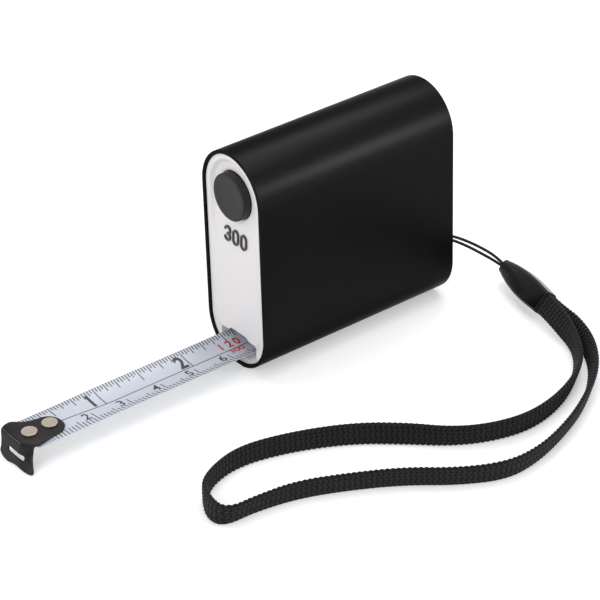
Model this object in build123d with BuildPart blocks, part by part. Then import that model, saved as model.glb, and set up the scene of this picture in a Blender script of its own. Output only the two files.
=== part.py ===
from build123d import *
import math
import os

os.makedirs("parts", exist_ok=True)

# Pocket tape measure, in millimetres.  The blade comes out along -X, +Z is up, and the origin is on
# the flat underside of the sleeve, halfway along it.

# ---- sleeve: a tube of round-ended section ----
sleeve_length = 59.8
sleeve_width = 22.9
sleeve_height = 58.4
sleeve_wall = 0.9
foot_width = 4.0            # flat strip along the underside
sleeve_edge = 0.15          # chamfer round both rims

sleeve_radius = sleeve_width / 2
foot_sagitta = sleeve_radius - math.sqrt(sleeve_radius**2 - (foot_width / 2) ** 2)
low_centre_z = sleeve_radius - foot_sagitta
high_centre_z = sleeve_height - sleeve_radius
straight_height = high_centre_z - low_centre_z
middle_z = (high_centre_z + low_centre_z) / 2
front_x = -sleeve_length / 2
rear_x = sleeve_length / 2

# ---- end caps ----
cap_recess = 0.5            # caps sit this far inside the rims
cap_fit = 0.05              # clearance between a cap and the sleeve
front_cap_thickness = 2.5
rear_cap_thickness = 2.0
cap_face_x = front_x + cap_recess
cap_back_x = cap_face_x + front_cap_thickness
rear_face_x = rear_x - cap_recess
rear_seat_x = rear_face_x - rear_cap_thickness

# ---- inner case, two halves that meet on the plane y = 0 ----
case_fit = 0.1              # clearance between the case and the sleeve
case_wall = 1.2
case_inset = sleeve_wall + case_fit
case_outer_half = sleeve_radius - case_inset
cavity_half = case_outer_half - case_wall

# ---- blade ----
blade_width = 12.54         # measured along its curve
blade_thickness = 0.15
blade_curve_radius = 17.0
blade_low_z = 4.89          # middle of the curved blade, at mid thickness
blade_reach = 63.9          # blade end to front rim
flat_end_length = 12.0      # stretch flattened under the hook
curl_length = 15.0          # stretch over which the curve forms
flat_rise = 0.88            # the flattened end lies this much above the blade's middle
blade_end_x = front_x - blade_reach

half_angle = blade_width / blade_curve_radius / 2
blade_sagitta = blade_curve_radius * (1 - math.cos(half_angle))
blade_flat_z = blade_low_z + flat_rise
flat_sagitta = 0.02

# ---- coil and drum ----
coil_radius = 21.4
coil_build = 3.4            # thickness of the wound blade
coil_x = 3.1
coil_width = 12.7
coil_gap = 0.1              # blade run to the underside of the coil
coil_rise = 0.3             # the run rises this much above the flattened end to meet the coil
coil_run_z = blade_flat_z + coil_rise
coil_z = coil_run_z + blade_thickness / 2 + coil_gap + coil_radius
hub_wall = 1.0
hub_fit = 0.05
drum_half = 6.6             # half the distance between the drum's cheeks
cheek_thickness = 1.0
cheek_radius = 20.5
hub_radius = coil_radius - coil_build - hub_fit

# ---- arbor and mainspring ----
arbor_radius = 3.0
arbor_end_radius = 2.2
arbor_clearance = 0.05
arbor_shoulder_gap = 0.3
socket_clearance = 0.05
socket_wall = 2.0
socket_gap = 0.5
arbor_seat_depth = 1.0
arbor_end_gap = 0.05
spring_thickness = 0.45
spring_step = 1.15          # growth of the mainspring's radius in each half turn
spring_half_width = 5.6
spring_arbor_gap = 0.05

# ---- hook ----
hook_thickness = 0.5
hook_lift = 0.05            # running gap between the hook and the blade
hook_float = 0.25           # play each way
bend_gap = 0.3              # blade end to the inside of the leg
bend_radius = 0.7
tongue_length = 13.1
tongue_half_width = 3.9
flare_half_width = 6.3
flare_length = 2.6
neck_length = 7.0
leg_lean = 6.0
leg_length = 6.3
flare_slope = 0.25          # how fast the flare narrows where it starts
leg_slope = 0.1             # how fast the leg's sides turn in at their ends
# Lower outline of the leg from its +Y side: y, and the share of the leg's length.
leg_outline = [(6.0, 0.8), (4.0, 0.975), (0.2, 0.9), (-3.6, 0.99), (-6.8, 0.86), (-7.4, 0.6)]
hook_slot_length = 7.2
hook_slot_width = 1.7
hook_slot_drop = 3.3
hook_slot_side = -0.5

hook_base_z = blade_flat_z + blade_thickness / 2 + hook_lift
hook_top_z = hook_base_z + hook_thickness
bend_x = blade_end_x - bend_gap - hook_thickness

# ---- rivets and backing plate ----
rivet_radius = 0.9
rivet_clearance = 0.05
rivet_head_radius = 1.95
rivet_head_height = 0.45
rivet_tail_radius = 1.6
rivet_tail_height = 0.3
rivet_head_edge = 0.2
rivet_first = 4.25          # from the bend to the first rivet
rivet_spacing = 5.65
plate_thickness = 0.35
plate_half_width = 2.6
plate_length = 10.2
plate_gap = 0.02

# ---- mouth in the front cap ----
mouth_half_width = 6.9
mouth_top_z = 7.8
mouth_sill_z = 4.3
mouth_arch_half = 3.2
mouth_arch_rise = 0.8
mouth_corner = 0.8
mouth_lip_drop = 1.3

# ---- dish, button and number on the front cap ----
button_radius = 6.05
button_clearance = 0.08
button_drop = 11.7          # top of the sleeve to the middle of the button
button_proud = 1.15         # face of the button beyond the face of the cap
button_edge = 0.7
flange_radius = 7.3
flange_thickness = 1.0
flange_gap = 0.1
stem_radius = 2.5
stem_length = 1.4
dish_half_width = 8.7
dish_top_drop = 2.6         # top of the sleeve to the dish
dish_length = 26.0
dish_depth = 1.0
dish_shallow_depth = 0.25
dish_slope_drop = 17.4      # top of the sleeve to where the dish starts to run out
dish_fillet = 0.2
number_drop = 23.2          # top of the sleeve to the middle of the number
number_height = 4.2
digit_width = 2.6
digit_stroke = 0.75
digit_pitch = 3.15
number_relief = -0.25       # face of the digits beyond the face of the cap, below it if negative
number_depth = 1.3          # depth of the digits' seats in the cap
button_z = sleeve_height - button_drop
dish_top_z = sleeve_height - dish_top_drop
dish_bottom_z = dish_top_z - dish_length
dish_slope_top_z = sleeve_height - dish_slope_drop
number_z = sleeve_height - number_drop

# ---- snap tabs behind the front cap ----
tab_length = 5.0
tab_thickness = 1.0
tab_height = 18.0
tab_fit = 0.05
tab_z = middle_z

# ---- brake ----
pivot_x = -12.4
pivot_z = 8.8
pivot_radius = 1.0
pivot_clearance = 0.05
pivot_half_length = 7.0
pivot_end_gap = 0.1
pivot_boss_radius = 2.0
lever_hub_radius = 2.0
lever_half_width = 3.0
lever_side_gap = 0.3
lever_thickness = 2.4
lever_gap = 0.2             # stem of the button to the lever
lever_overrun = 3.5         # top of the lever above the middle of the button
lever_knee_z = 13.9         # where the back of the lever turns towards its hub
lever_knee_reach = 3.84     # front of the lever to that turn
lever_chin_z = 12.0         # where the front of the lever turns towards the toe
lever_chin_reach = 0.96
lever_sole_z = 7.4          # underside of the lever at the pivot
lever_toe_rise = 0.2
lever_top_z = button_z + lever_overrun
toe_reach = 3.8             # pivot to the middle of the toe
toe_length = 2.5
toe_half_width = 2.0
toe_root_z = 8.4
toe_overlap = 0.6           # the toe runs this far up into the lever
pad_thickness = 0.45
pad_gap = 0.08

# ---- brake spring ----
web_thickness = 1.5
web_height = 7.0
brake_spring_length = 6.0
brake_spring_radius = 1.9
brake_spring_wire = 0.4
brake_spring_turns = 5
spring_seat_gap = 0.02
lever_front_x = cap_back_x + flange_gap + flange_thickness + stem_length + lever_gap
lever_back_x = lever_front_x + lever_thickness
web_x = lever_back_x + brake_spring_length

# ---- tape guide ----
guide_length = 12.9
guide_gap = 0.1             # blade to guide
guide_fit = 0.05
guide_front_gap = 0.05

# ---- case screws ----
screw_radius = 0.8
screw_head_radius = 1.7
screw_head_height = 1.3
screw_clearance = 0.2
screw_thread_fit = 0.02
screw_head_fit = 0.15
screw_seat_y = -5.5
screw_length = 11.0
screw_boss_radius = 2.6
screw_end_gap = 0.5
drive_radius = 0.7
drive_depth = 0.8
screw_coil_gap = 0.4        # coil to the posts of the screws
screw_ring = coil_radius + screw_coil_gap + screw_boss_radius
front_screw_x = web_x + web_thickness + screw_coil_gap + screw_boss_radius
front_screw_z = coil_z + math.sqrt(screw_ring**2 - (front_screw_x - coil_x) ** 2)
rear_screw_angles = [-50, 40]
screw_places = [(front_screw_x, front_screw_z)] + [
    (coil_x + screw_ring * math.cos(math.radians(angle)),
     coil_z + screw_ring * math.sin(math.radians(angle)))
    for angle in rear_screw_angles
]

# ---- rear cap: screws, strap pocket and pin ----
pocket_z = 11.8
pocket_width = 6.0
pocket_height = 7.0
pocket_depth = 5.0
pocket_wall = 1.0
strap_pin_radius = 0.8
strap_pin_half_length = 3.8
strap_pin_depth = 2.0
strap_pin_fit = 0.02
cap_screw_radius = 0.8
cap_screw_head_radius = 1.6
cap_screw_head_height = 0.9
cap_screw_length = 6.0
cap_screw_boss_radius = 2.4
cap_screw_boss_length = 5.0
cap_screw_clearance = 0.15
cap_screw_side = 4.55       # side of the sleeve to the cap screws
cap_screw_drop = 11.4       # top of the sleeve to the cap screws
cap_screw_y = sleeve_radius - cap_screw_side
cap_screw_z = sleeve_height - cap_screw_drop
cap_screw_places = [(cap_screw_y, cap_screw_z), (-cap_screw_y, cap_screw_z)]

# ---- wrist strap ----
string_diameter = 0.8
strap_width = 6.0
strap_thickness = 1.4
ferrule_start = (46.2, -12.0, 4.2)
ferrule_end = (41.2, -33.5, 4.2)
ferrule_tilt = 40.0
ferrule_sizes = [(4.4, 3.4, 1.5), (7.0, 4.6, 2.0), (6.6, 4.4, 1.9)]
ferrule_waist = 0.55        # where along its length it reaches full width

# Route of the string: out of the ferrule, round the strap pin and back.
string_route = [
    (46.2, -12.0, 4.65), (47.1, -8.1, 4.9), (45.5, -4.2, 6.2), (41.4, -1.3, 8.7),
    (36.4, -0.2, 11.2), (31.4, 0.0, 12.8), (26.15, 0.0, 13.05), (26.15, 0.0, 10.55),
    (31.4, 0.0, 11.0), (36.2, -0.6, 10.2), (40.8, -2.1, 7.6), (44.4, -4.9, 4.9),
    (46.9, -8.5, 3.9), (46.2, -12.0, 3.75),
]
pin_turn_radius = 1.22
radius_share = 0.45         # share of the shorter run that each arc may take up

# Route of the strap: a flat braid standing on its edge, out of the ferrule and back into it.
strap_route = [
    (40.32, -33.3, 4.2), (39.19, -38.17, 4.2), (37.2, -44.6, 3.5), (33.6, -52.0, 3.1),
    (27.6, -59.4, 3.05), (18.6, -64.8, 3.05), (7.6, -67.8, 3.05), (-3.8, -67.2, 3.05),
    (-13.2, -61.8, 3.05), (-21.6, -52.9, 3.05), (-31.2, -44.9, 3.05), (-43.2, -38.3, 3.05),
    (-55.4, -35.1, 3.05), (-65.6, -36.7, 3.05), (-72.8, -41.3, 3.05), (-75.2, -47.8, 3.05),
    (-72.0, -53.0, 3.05), (-63.4, -52.7, 3.05), (-54.4, -54.5, 3.05), (-44.2, -59.2, 3.05),
    (-33.2, -66.2, 3.05), (-23.4, -74.0, 3.05), (-13.4, -79.8, 3.05), (-1.6, -79.6, 3.05),
    (9.8, -75.7, 3.05), (21.0, -69.8, 3.05), (30.6, -62.9, 3.1), (37.6, -54.8, 3.3),
    (41.0, -46.2, 3.6), (40.95, -38.57, 4.2), (42.08, -33.7, 4.2),
]


def stadium(inset, mode=Mode.ADD):
    """Round-ended section of the sleeve, made smaller all round by inset."""
    with Locations((0, middle_z)):
        SlotCenterToCenter(straight_height, 2 * (sleeve_radius - inset), rotation=90, mode=mode)


def front_plane(x, z=0):
    """Plane seen from the front: its x runs to -Y, its y up from z, and it faces -X."""
    return Plane(origin=(x, 0, z), x_dir=(0, -1, 0), z_dir=(-1, 0, 0))


def side_plane(y):
    """Plane across the body at y: its x runs along +X, its y up, and it faces -Y."""
    return Plane(origin=(0, y, 0), x_dir=(1, 0, 0), z_dir=(0, -1, 0))


def finish(part, name):
    part.label = name
    export_step(part, f"parts/{name}.step")


# ---------------------------------------------------------------- sleeve
with BuildPart() as sleeve:
    with BuildSketch(Plane.YZ.offset(front_x)):
        stadium(0)
        with Locations((0, sleeve_height / 2)):
            Rectangle(sleeve_width, sleeve_height, mode=Mode.INTERSECT)
        stadium(sleeve_wall, mode=Mode.SUBTRACT)
    extrude(amount=sleeve_length)
    rims = sleeve.faces().filter_by(Axis.X)
    chamfer([face.outer_wire().edges() for face in rims], length=sleeve_edge)
finish(sleeve.part, "sleeve")


# ---------------------------------------------------------------- front cap
def number_digits():
    """The digits 3, 0, 0, centred, drawn from rings and slots."""
    ring_radius = (number_height + digit_stroke) / 4
    bowl_rise = (number_height - digit_stroke) / 4
    with Locations((-digit_pitch, bowl_rise), (-digit_pitch, -bowl_rise)):
        Ellipse(digit_width / 2, ring_radius)
    with Locations((-digit_pitch, bowl_rise), (-digit_pitch, -bowl_rise)):
        Ellipse(digit_width / 2 - digit_stroke, ring_radius - digit_stroke, mode=Mode.SUBTRACT)
    with Locations((-digit_pitch - digit_width / 2, 0)):
        Rectangle(digit_width, 2 * bowl_rise, mode=Mode.SUBTRACT)
    with Locations((-digit_pitch, 0)):
        Rectangle(digit_width / 2, digit_stroke)
    with Locations((0, 0), (digit_pitch, 0)):
        SlotOverall(number_height, digit_width, rotation=90)
        SlotOverall(
            number_height - 2 * digit_stroke,
            digit_width - 2 * digit_stroke,
            rotation=90,
            mode=Mode.SUBTRACT,
        )


number_plane = front_plane(cap_face_x - number_relief, number_z)

with BuildPart() as dish:
    with BuildSketch(front_plane(cap_face_x + dish_depth)):
        with Locations((0, (dish_top_z + dish_bottom_z) / 2)):
            SlotOverall(dish_top_z - dish_bottom_z, 2 * dish_half_width, rotation=90)
    extrude(amount=2 * dish_depth)
    with BuildSketch(side_plane(0)):
        with BuildLine():
            Polyline(
                (cap_face_x + dish_shallow_depth, dish_bottom_z),
                (cap_face_x + dish_depth, dish_slope_top_z),
                (cap_face_x + 2 * dish_depth, dish_slope_top_z),
                (cap_face_x + 2 * dish_depth, dish_bottom_z),
                close=True,
            )
        make_face()
    extrude(amount=dish_half_width, both=True, mode=Mode.SUBTRACT)
    fillet(dish.faces().sort_by(Axis.X)[-1].edges(), dish_fillet)

with BuildPart() as front_cap:
    with BuildSketch(Plane.YZ.offset(cap_face_x)):
        stadium(sleeve_wall + cap_fit)
    extrude(amount=front_cap_thickness)
    # Snap tabs that grip the inner case.
    tab_y = cavity_half - tab_fit - tab_thickness / 2
    with BuildSketch(Plane.YZ.offset(cap_back_x)):
        with Locations((-tab_y, tab_z), (tab_y, tab_z)):
            Rectangle(tab_thickness, tab_height)
    extrude(amount=tab_length)
    add(dish.part, mode=Mode.SUBTRACT)
    # Hole for the button.
    with BuildSketch(Plane.YZ.offset(cap_face_x)):
        with Locations((0, button_z)):
            Circle(button_radius + button_clearance)
    extrude(amount=front_cap_thickness, mode=Mode.SUBTRACT)
    # Mouth, with an arch that clears the rivets.
    with BuildSketch(Plane.YZ.offset(cap_face_x)):
        with Locations((0, (mouth_top_z + mouth_sill_z) / 2)):
            RectangleRounded(2 * mouth_half_width, mouth_top_z - mouth_sill_z, mouth_corner)
        with Locations((0, mouth_top_z)):
            Ellipse(mouth_arch_half, mouth_arch_rise)
    extrude(amount=front_cap_thickness, mode=Mode.SUBTRACT)
    # Lip that falls away below the blade.
    with BuildSketch(side_plane(0)):
        with BuildLine():
            Polyline(
                (cap_face_x, mouth_sill_z - mouth_lip_drop),
                (cap_back_x, mouth_sill_z),
                (cap_back_x, mouth_sill_z + mouth_corner),
                (cap_face_x, mouth_sill_z + mouth_corner),
                close=True,
            )
        make_face()
    extrude(amount=mouth_half_width - mouth_corner, both=True, mode=Mode.SUBTRACT)
    # Seats for the digits.
    with BuildSketch(number_plane):
        number_digits()
    extrude(amount=-(number_relief + number_depth), mode=Mode.SUBTRACT)
finish(front_cap.part, "front_cap")

with BuildPart() as cap_number:
    with BuildSketch(number_plane):
        number_digits()
    extrude(amount=-(number_relief + number_depth))
finish(cap_number.part, "cap_number")


# ---------------------------------------------------------------- rear cap
with BuildPart() as rear_cap:
    with BuildSketch(Plane.YZ.offset(rear_seat_x)):
        stadium(sleeve_wall + cap_fit)
    extrude(amount=rear_cap_thickness)
    # Box of the strap pocket, then the pocket itself.
    with BuildSketch(Plane.YZ.offset(rear_face_x)):
        with Locations((0, pocket_z)):
            Rectangle(pocket_width + 2 * pocket_wall, pocket_height + 2 * pocket_wall)
    extrude(amount=-(pocket_depth + pocket_wall))
    with BuildSketch(Plane.YZ.offset(rear_face_x)):
        with Locations((0, pocket_z)):
            Rectangle(pocket_width, pocket_height)
    extrude(amount=-pocket_depth, mode=Mode.SUBTRACT)
    with BuildSketch(side_plane(0)):
        with Locations((rear_face_x - strap_pin_depth, pocket_z)):
            Circle(strap_pin_radius + strap_pin_fit)
    extrude(amount=strap_pin_half_length, both=True, mode=Mode.SUBTRACT)
    for y, z in cap_screw_places:
        with BuildSketch(Plane.YZ.offset(rear_face_x)):
            with Locations((y, z)):
                Circle(cap_screw_head_radius + cap_screw_clearance)
        extrude(amount=-cap_screw_head_height, mode=Mode.SUBTRACT)
        with BuildSketch(Plane.YZ.offset(rear_face_x)):
            with Locations((y, z)):
                Circle(cap_screw_radius + cap_screw_clearance)
        extrude(amount=-rear_cap_thickness, mode=Mode.SUBTRACT)
finish(rear_cap.part, "rear_cap")

with BuildPart() as strap_pin:
    with BuildSketch(side_plane(0)):
        with Locations((rear_face_x - strap_pin_depth, pocket_z)):
            Circle(strap_pin_radius)
    extrude(amount=strap_pin_half_length, both=True)
finish(strap_pin.part, "strap_pin")

with BuildPart() as cap_screws:
    for y, z in cap_screw_places:
        with BuildSketch(Plane.YZ.offset(rear_face_x)):
            with Locations((y, z)):
                Circle(cap_screw_head_radius)
        extrude(amount=-cap_screw_head_height)
        with BuildSketch(Plane.YZ.offset(rear_face_x)):
            with Locations((y, z)):
                Circle(cap_screw_radius)
        extrude(amount=-cap_screw_length)
        with BuildSketch(Plane.YZ.offset(rear_face_x)):
            with Locations((y, z)):
                RegularPolygon(drive_radius, 6)
        extrude(amount=-drive_depth, mode=Mode.SUBTRACT)
finish(cap_screws.part, "cap_screws")


# ---------------------------------------------------------------- case halves
socket_y = drum_half + cheek_thickness + socket_gap


def half_stadium(inset, side):
    """The stadium section on one side of the plane y = 0."""
    stadium(inset)
    with Locations((side * sleeve_width / 4, middle_z)):
        Rectangle(sleeve_width / 2, 2 * sleeve_height, mode=Mode.INTERSECT)


def case_half(side):
    """One half of the inner case: side is -1 for the -Y half, 1 for the +Y half."""
    case_length = rear_seat_x - cap_back_x
    with BuildPart() as half:
        # Posts of the case screws and the web behind the brake spring, from the parting plane.
        with BuildSketch(side_plane(0)):
            with Locations(*screw_places):
                Circle(screw_boss_radius)
            with Locations((web_x + web_thickness / 2, button_z)):
                Rectangle(web_thickness, web_height)
        extrude(amount=-side * sleeve_width / 2)
        # Bosses of the arbor and of the lever pin, from the inside of the wall.
        with BuildSketch(side_plane(side * socket_y)):
            with Locations((coil_x, coil_z)):
                Circle(arbor_end_radius + socket_clearance + socket_wall)
        extrude(amount=-side * (sleeve_width / 2 - socket_y))
        boss_y = lever_half_width + lever_side_gap
        with BuildSketch(side_plane(side * boss_y)):
            with Locations((pivot_x, pivot_z)):
                Circle(pivot_boss_radius)
        extrude(amount=-side * (sleeve_width / 2 - boss_y))
        # Boss of the cap screw.
        with BuildSketch(Plane.YZ.offset(rear_seat_x)):
            with Locations([place for place in cap_screw_places if place[0] * side > 0]):
                Circle(cap_screw_boss_radius)
        extrude(amount=-cap_screw_boss_length)
        # All of them end at the outside of the case, and the wall joins them.
        with BuildSketch(Plane.YZ.offset(cap_back_x)):
            half_stadium(case_inset, side)
        extrude(amount=case_length, mode=Mode.INTERSECT)
        with BuildSketch(Plane.YZ.offset(cap_back_x)):
            half_stadium(case_inset, side)
            stadium(case_inset + case_wall, mode=Mode.SUBTRACT)
        extrude(amount=case_length)
        # Holes.
        with BuildSketch(side_plane(side * socket_y)):
            with Locations((coil_x, coil_z)):
                Circle(arbor_end_radius + socket_clearance)
        extrude(amount=-side * arbor_seat_depth, mode=Mode.SUBTRACT)
        with BuildSketch(side_plane(side * boss_y)):
            with Locations((pivot_x, pivot_z)):
                Circle(pivot_radius + pivot_clearance)
        extrude(amount=-side * (pivot_half_length - boss_y + pivot_end_gap), mode=Mode.SUBTRACT)
        with BuildSketch(Plane.YZ.offset(rear_seat_x)):
            with Locations([place for place in cap_screw_places if place[0] * side > 0]):
                Circle(cap_screw_radius + screw_thread_fit)
        extrude(amount=-cap_screw_boss_length, mode=Mode.SUBTRACT)
        if side < 0:
            with BuildSketch(side_plane(0)):
                with Locations(*screw_places):
                    Circle(screw_radius + screw_clearance)
            extrude(amount=sleeve_width / 2, mode=Mode.SUBTRACT)
            with BuildSketch(side_plane(screw_seat_y)):
                with Locations(*screw_places):
                    Circle(screw_head_radius + screw_head_fit)
            extrude(amount=sleeve_width / 2, mode=Mode.SUBTRACT)
        else:
            with BuildSketch(side_plane(0)):
                with Locations(*screw_places):
                    Circle(screw_radius + screw_thread_fit)
            extrude(amount=-(screw_length + screw_seat_y + screw_end_gap), mode=Mode.SUBTRACT)
    return half


case_left = case_half(-1)
finish(case_left.part, "case_left")
case_right = case_half(1)
finish(case_right.part, "case_right")

with BuildPart() as case_screws:
    with BuildSketch(side_plane(screw_seat_y)):
        with Locations(*screw_places):
            Circle(screw_radius)
    extrude(amount=-screw_length)
    with BuildSketch(side_plane(screw_seat_y)):
        with Locations(*screw_places):
            Circle(screw_head_radius)
    extrude(amount=screw_head_height)
    with BuildSketch(side_plane(screw_seat_y - screw_head_height)):
        with Locations(*screw_places):
            RegularPolygon(drive_radius, 6)
    extrude(amount=-drive_depth, mode=Mode.SUBTRACT)
finish(case_screws.part, "case_screws")


# ---------------------------------------------------------------- arbor, drum, coil, mainspring
with BuildPart() as arbor:
    with BuildSketch(side_plane(0)):
        with Locations((coil_x, coil_z)):
            Circle(arbor_radius)
    extrude(amount=socket_y - arbor_shoulder_gap, both=True)
    with BuildSketch(side_plane(0)):
        with Locations((coil_x, coil_z)):
            Circle(arbor_end_radius)
    extrude(amount=socket_y + arbor_seat_depth - arbor_end_gap, both=True)
finish(arbor.part, "arbor")

with BuildPart() as drum:
    with BuildSketch(side_plane(drum_half)):
        with Locations((coil_x, coil_z)):
            Circle(hub_radius)
            Circle(hub_radius - hub_wall, mode=Mode.SUBTRACT)
    extrude(amount=2 * drum_half)
    with BuildSketch(side_plane(-drum_half)):
        with Locations((coil_x, coil_z)):
            Circle(cheek_radius)
            Circle(arbor_radius + arbor_clearance, mode=Mode.SUBTRACT)
    extrude(amount=cheek_thickness)
finish(drum.part, "drum")

with BuildPart() as drum_lid:
    with BuildSketch(side_plane(drum_half)):
        with Locations((coil_x, coil_z)):
            Circle(cheek_radius)
            Circle(arbor_radius + arbor_clearance, mode=Mode.SUBTRACT)
    extrude(amount=-cheek_thickness)
finish(drum_lid.part, "drum_lid")

with BuildPart() as tape_coil:
    with BuildSketch(side_plane(0)):
        with Locations((coil_x, coil_z)):
            Circle(coil_radius)
            Circle(coil_radius - coil_build, mode=Mode.SUBTRACT)
    extrude(amount=coil_width / 2, both=True)
finish(tape_coil.part, "tape_coil")

hub_inner_radius = hub_radius - hub_wall
spring_inner_radius = arbor_radius + spring_arbor_gap
spring_half_turns = int((hub_inner_radius - spring_thickness - spring_inner_radius) / spring_step)

# The mainspring is a spiral of half turns: each one's radius is a step larger than the last one's,
# and their centres alternate, a step apart, so that they join.
with BuildPart() as mainspring:
    with BuildSketch(side_plane(0)):
        for turn in range(spring_half_turns):
            inner = spring_inner_radius + turn * spring_step
            outer = inner + spring_thickness
            centre_x = coil_x + (turn % 2) * spring_step
            start_angle = (turn % 2) * 180
            with BuildLine():
                arc = CenterArc((centre_x, coil_z), inner, start_angle, 180)
                outer_arc = CenterArc((centre_x, coil_z), outer, start_angle, 180)
                Line(arc @ 0, outer_arc @ 0)
                Line(arc @ 1, outer_arc @ 1)
            make_face()
    extrude(amount=spring_half_width, both=True)
finish(mainspring.part, "mainspring")


# ---------------------------------------------------------------- blade
def blade_section(x, low_z, sagitta):
    """Section of the blade at x: its middle at low_z and its edges higher by the sagitta."""
    half = math.sqrt((blade_width / 2) ** 2 - 4 * sagitta**2 / 3)
    bottom = low_z - blade_thickness / 2
    top = low_z + blade_thickness / 2
    with BuildSketch(Plane.YZ.offset(x)) as section:
        with BuildLine():
            ThreePointArc((-half, bottom + sagitta), (0, bottom), (half, bottom + sagitta))
            Line((half, bottom + sagitta), (half, top + sagitta))
            ThreePointArc((half, top + sagitta), (0, top), (-half, top + sagitta))
            Line((-half, top + sagitta), (-half, bottom + sagitta))
        make_face()
    return section.sketch


rivet_places = [(bend_x + rivet_first, 0), (bend_x + rivet_first + rivet_spacing, 0)]
flat_to_x = blade_end_x + flat_end_length
curved_from_x = flat_to_x + curl_length
curved_to_x = coil_x - curl_length

with BuildPart() as tape_strip:
    loft(
        [
            blade_section(blade_end_x, blade_flat_z, flat_sagitta),
            blade_section(flat_to_x, blade_flat_z, flat_sagitta),
            blade_section(curved_from_x, blade_low_z, blade_sagitta),
            blade_section(curved_to_x, blade_low_z, blade_sagitta),
            blade_section(coil_x, coil_run_z - flat_sagitta, flat_sagitta),
        ],
        ruled=True,
    )
    with BuildSketch(Plane.XY.offset(blade_low_z)):
        with Locations(*rivet_places):
            Circle(rivet_radius + rivet_clearance)
    extrude(amount=2 * flat_rise, mode=Mode.SUBTRACT)
finish(tape_strip.part, "tape_strip")

plate_top_z = blade_flat_z - blade_thickness / 2 - plate_gap
plate_bottom_z = plate_top_z - plate_thickness
with BuildPart() as backing_plate:
    with BuildSketch(Plane.XY.offset(plate_bottom_z)):
        with Locations((bend_x + rivet_first + rivet_spacing / 2, 0)):
            SlotOverall(plate_length, 2 * plate_half_width)
        with Locations(*rivet_places):
            Circle(rivet_radius + rivet_clearance, mode=Mode.SUBTRACT)
    extrude(amount=plate_thickness)
finish(backing_plate.part, "backing_plate")

with BuildPart() as rivets:
    with BuildSketch(Plane.XY.offset(plate_bottom_z)):
        with Locations(*rivet_places):
            Circle(rivet_radius)
    extrude(amount=hook_top_z + hook_lift - plate_bottom_z)
    with BuildSketch(Plane.XY.offset(plate_bottom_z)):
        with Locations(*rivet_places):
            Circle(rivet_tail_radius)
    extrude(amount=-rivet_tail_height)
    with BuildSketch(Plane.XY.offset(hook_top_z + hook_lift)):
        with Locations(*rivet_places):
            Circle(rivet_head_radius)
    extrude(amount=rivet_head_height)
    fillet(rivets.edges().filter_by(GeomType.CIRCLE).group_by(Axis.Z)[-1], rivet_head_edge)
finish(rivets.part, "rivets")

# The hook: a tongue on the blade that flares to the bend, and a leg that leans outwards.
tongue_end_x = bend_x + tongue_length
tongue_round_x = tongue_end_x - tongue_half_width
neck_x = bend_x + neck_length
flare_x = bend_x + flare_length
leg_plane = Plane(
    origin=(bend_x, 0, hook_top_z),
    x_dir=(0, 1, 0),
    z_dir=(math.cos(math.radians(leg_lean)), 0, -math.sin(math.radians(leg_lean))),
)
leg_points = [(y, -share * leg_length) for y, share in leg_outline]
hook_slot_play = 2 * (hook_float + rivet_clearance)

with BuildPart() as hook:
    with BuildSketch(Plane.XY.offset(hook_base_z)):
        with BuildLine():
            Line((bend_x, -flare_half_width), (bend_x, flare_half_width))
            Line((bend_x, flare_half_width), (flare_x, flare_half_width))
            Spline(
                (flare_x, flare_half_width),
                (neck_x, tongue_half_width),
                tangents=[(1, -flare_slope), (1, 0)],
            )
            Line((neck_x, tongue_half_width), (tongue_round_x, tongue_half_width))
            ThreePointArc(
                (tongue_round_x, tongue_half_width),
                (tongue_end_x, 0),
                (tongue_round_x, -tongue_half_width),
            )
            Line((tongue_round_x, -tongue_half_width), (neck_x, -tongue_half_width))
            Spline(
                (neck_x, -tongue_half_width),
                (flare_x, -flare_half_width),
                tangents=[(-1, 0), (-1, -flare_slope)],
            )
            Line((flare_x, -flare_half_width), (bend_x, -flare_half_width))
        make_face()
        with Locations(*rivet_places):
            SlotOverall(2 * rivet_radius + hook_slot_play, 2 * (rivet_radius + rivet_clearance),
                        mode=Mode.SUBTRACT)
    extrude(amount=hook_thickness)
    with BuildSketch(leg_plane):
        with BuildLine():
            Line((-flare_half_width, 0), (flare_half_width, 0))
            Line((flare_half_width, 0), leg_points[0])
            Spline(*leg_points, tangents=[(-leg_slope, -1), (leg_slope, 1)])
            Spline(leg_points[-1], (-flare_half_width, 0), tangents=[(leg_slope, 1), (0, 1)])
        make_face()
        with Locations((hook_slot_side, -hook_slot_drop)):
            SlotOverall(hook_slot_length, hook_slot_width, mode=Mode.SUBTRACT)
    extrude(amount=hook_thickness)
    bend_edge = hook.edges().filter_by(Axis.Y).group_by(Axis.Z)[-1].sort_by(Axis.X)[0]
    fillet(bend_edge, bend_radius)
finish(hook.part, "hook")


# ---------------------------------------------------------------- button
button_face_x = cap_face_x - button_proud
flange_x = cap_back_x + flange_gap
with BuildPart() as button:
    with BuildSketch(Plane.YZ.offset(button_face_x)):
        with Locations((0, button_z)):
            Circle(button_radius)
    extrude(amount=flange_x - button_face_x)
    fillet(button.edges().group_by(Axis.X)[0], button_edge)
    with BuildSketch(Plane.YZ.offset(flange_x)):
        with Locations((0, button_z)):
            Circle(flange_radius)
    extrude(amount=flange_thickness)
    with BuildSketch(Plane.YZ.offset(flange_x + flange_thickness)):
        with Locations((0, button_z)):
            Circle(stem_radius)
    extrude(amount=stem_length)
finish(button.part, "button")


# ---------------------------------------------------------------- brake
blade_top_z = blade_low_z + blade_thickness / 2
toe_x = pivot_x - toe_reach
pad_bottom_z = blade_top_z + blade_curve_radius - math.sqrt(
    blade_curve_radius**2 - toe_half_width**2
) + pad_gap
toe_bottom_z = pad_bottom_z + pad_thickness

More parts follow.
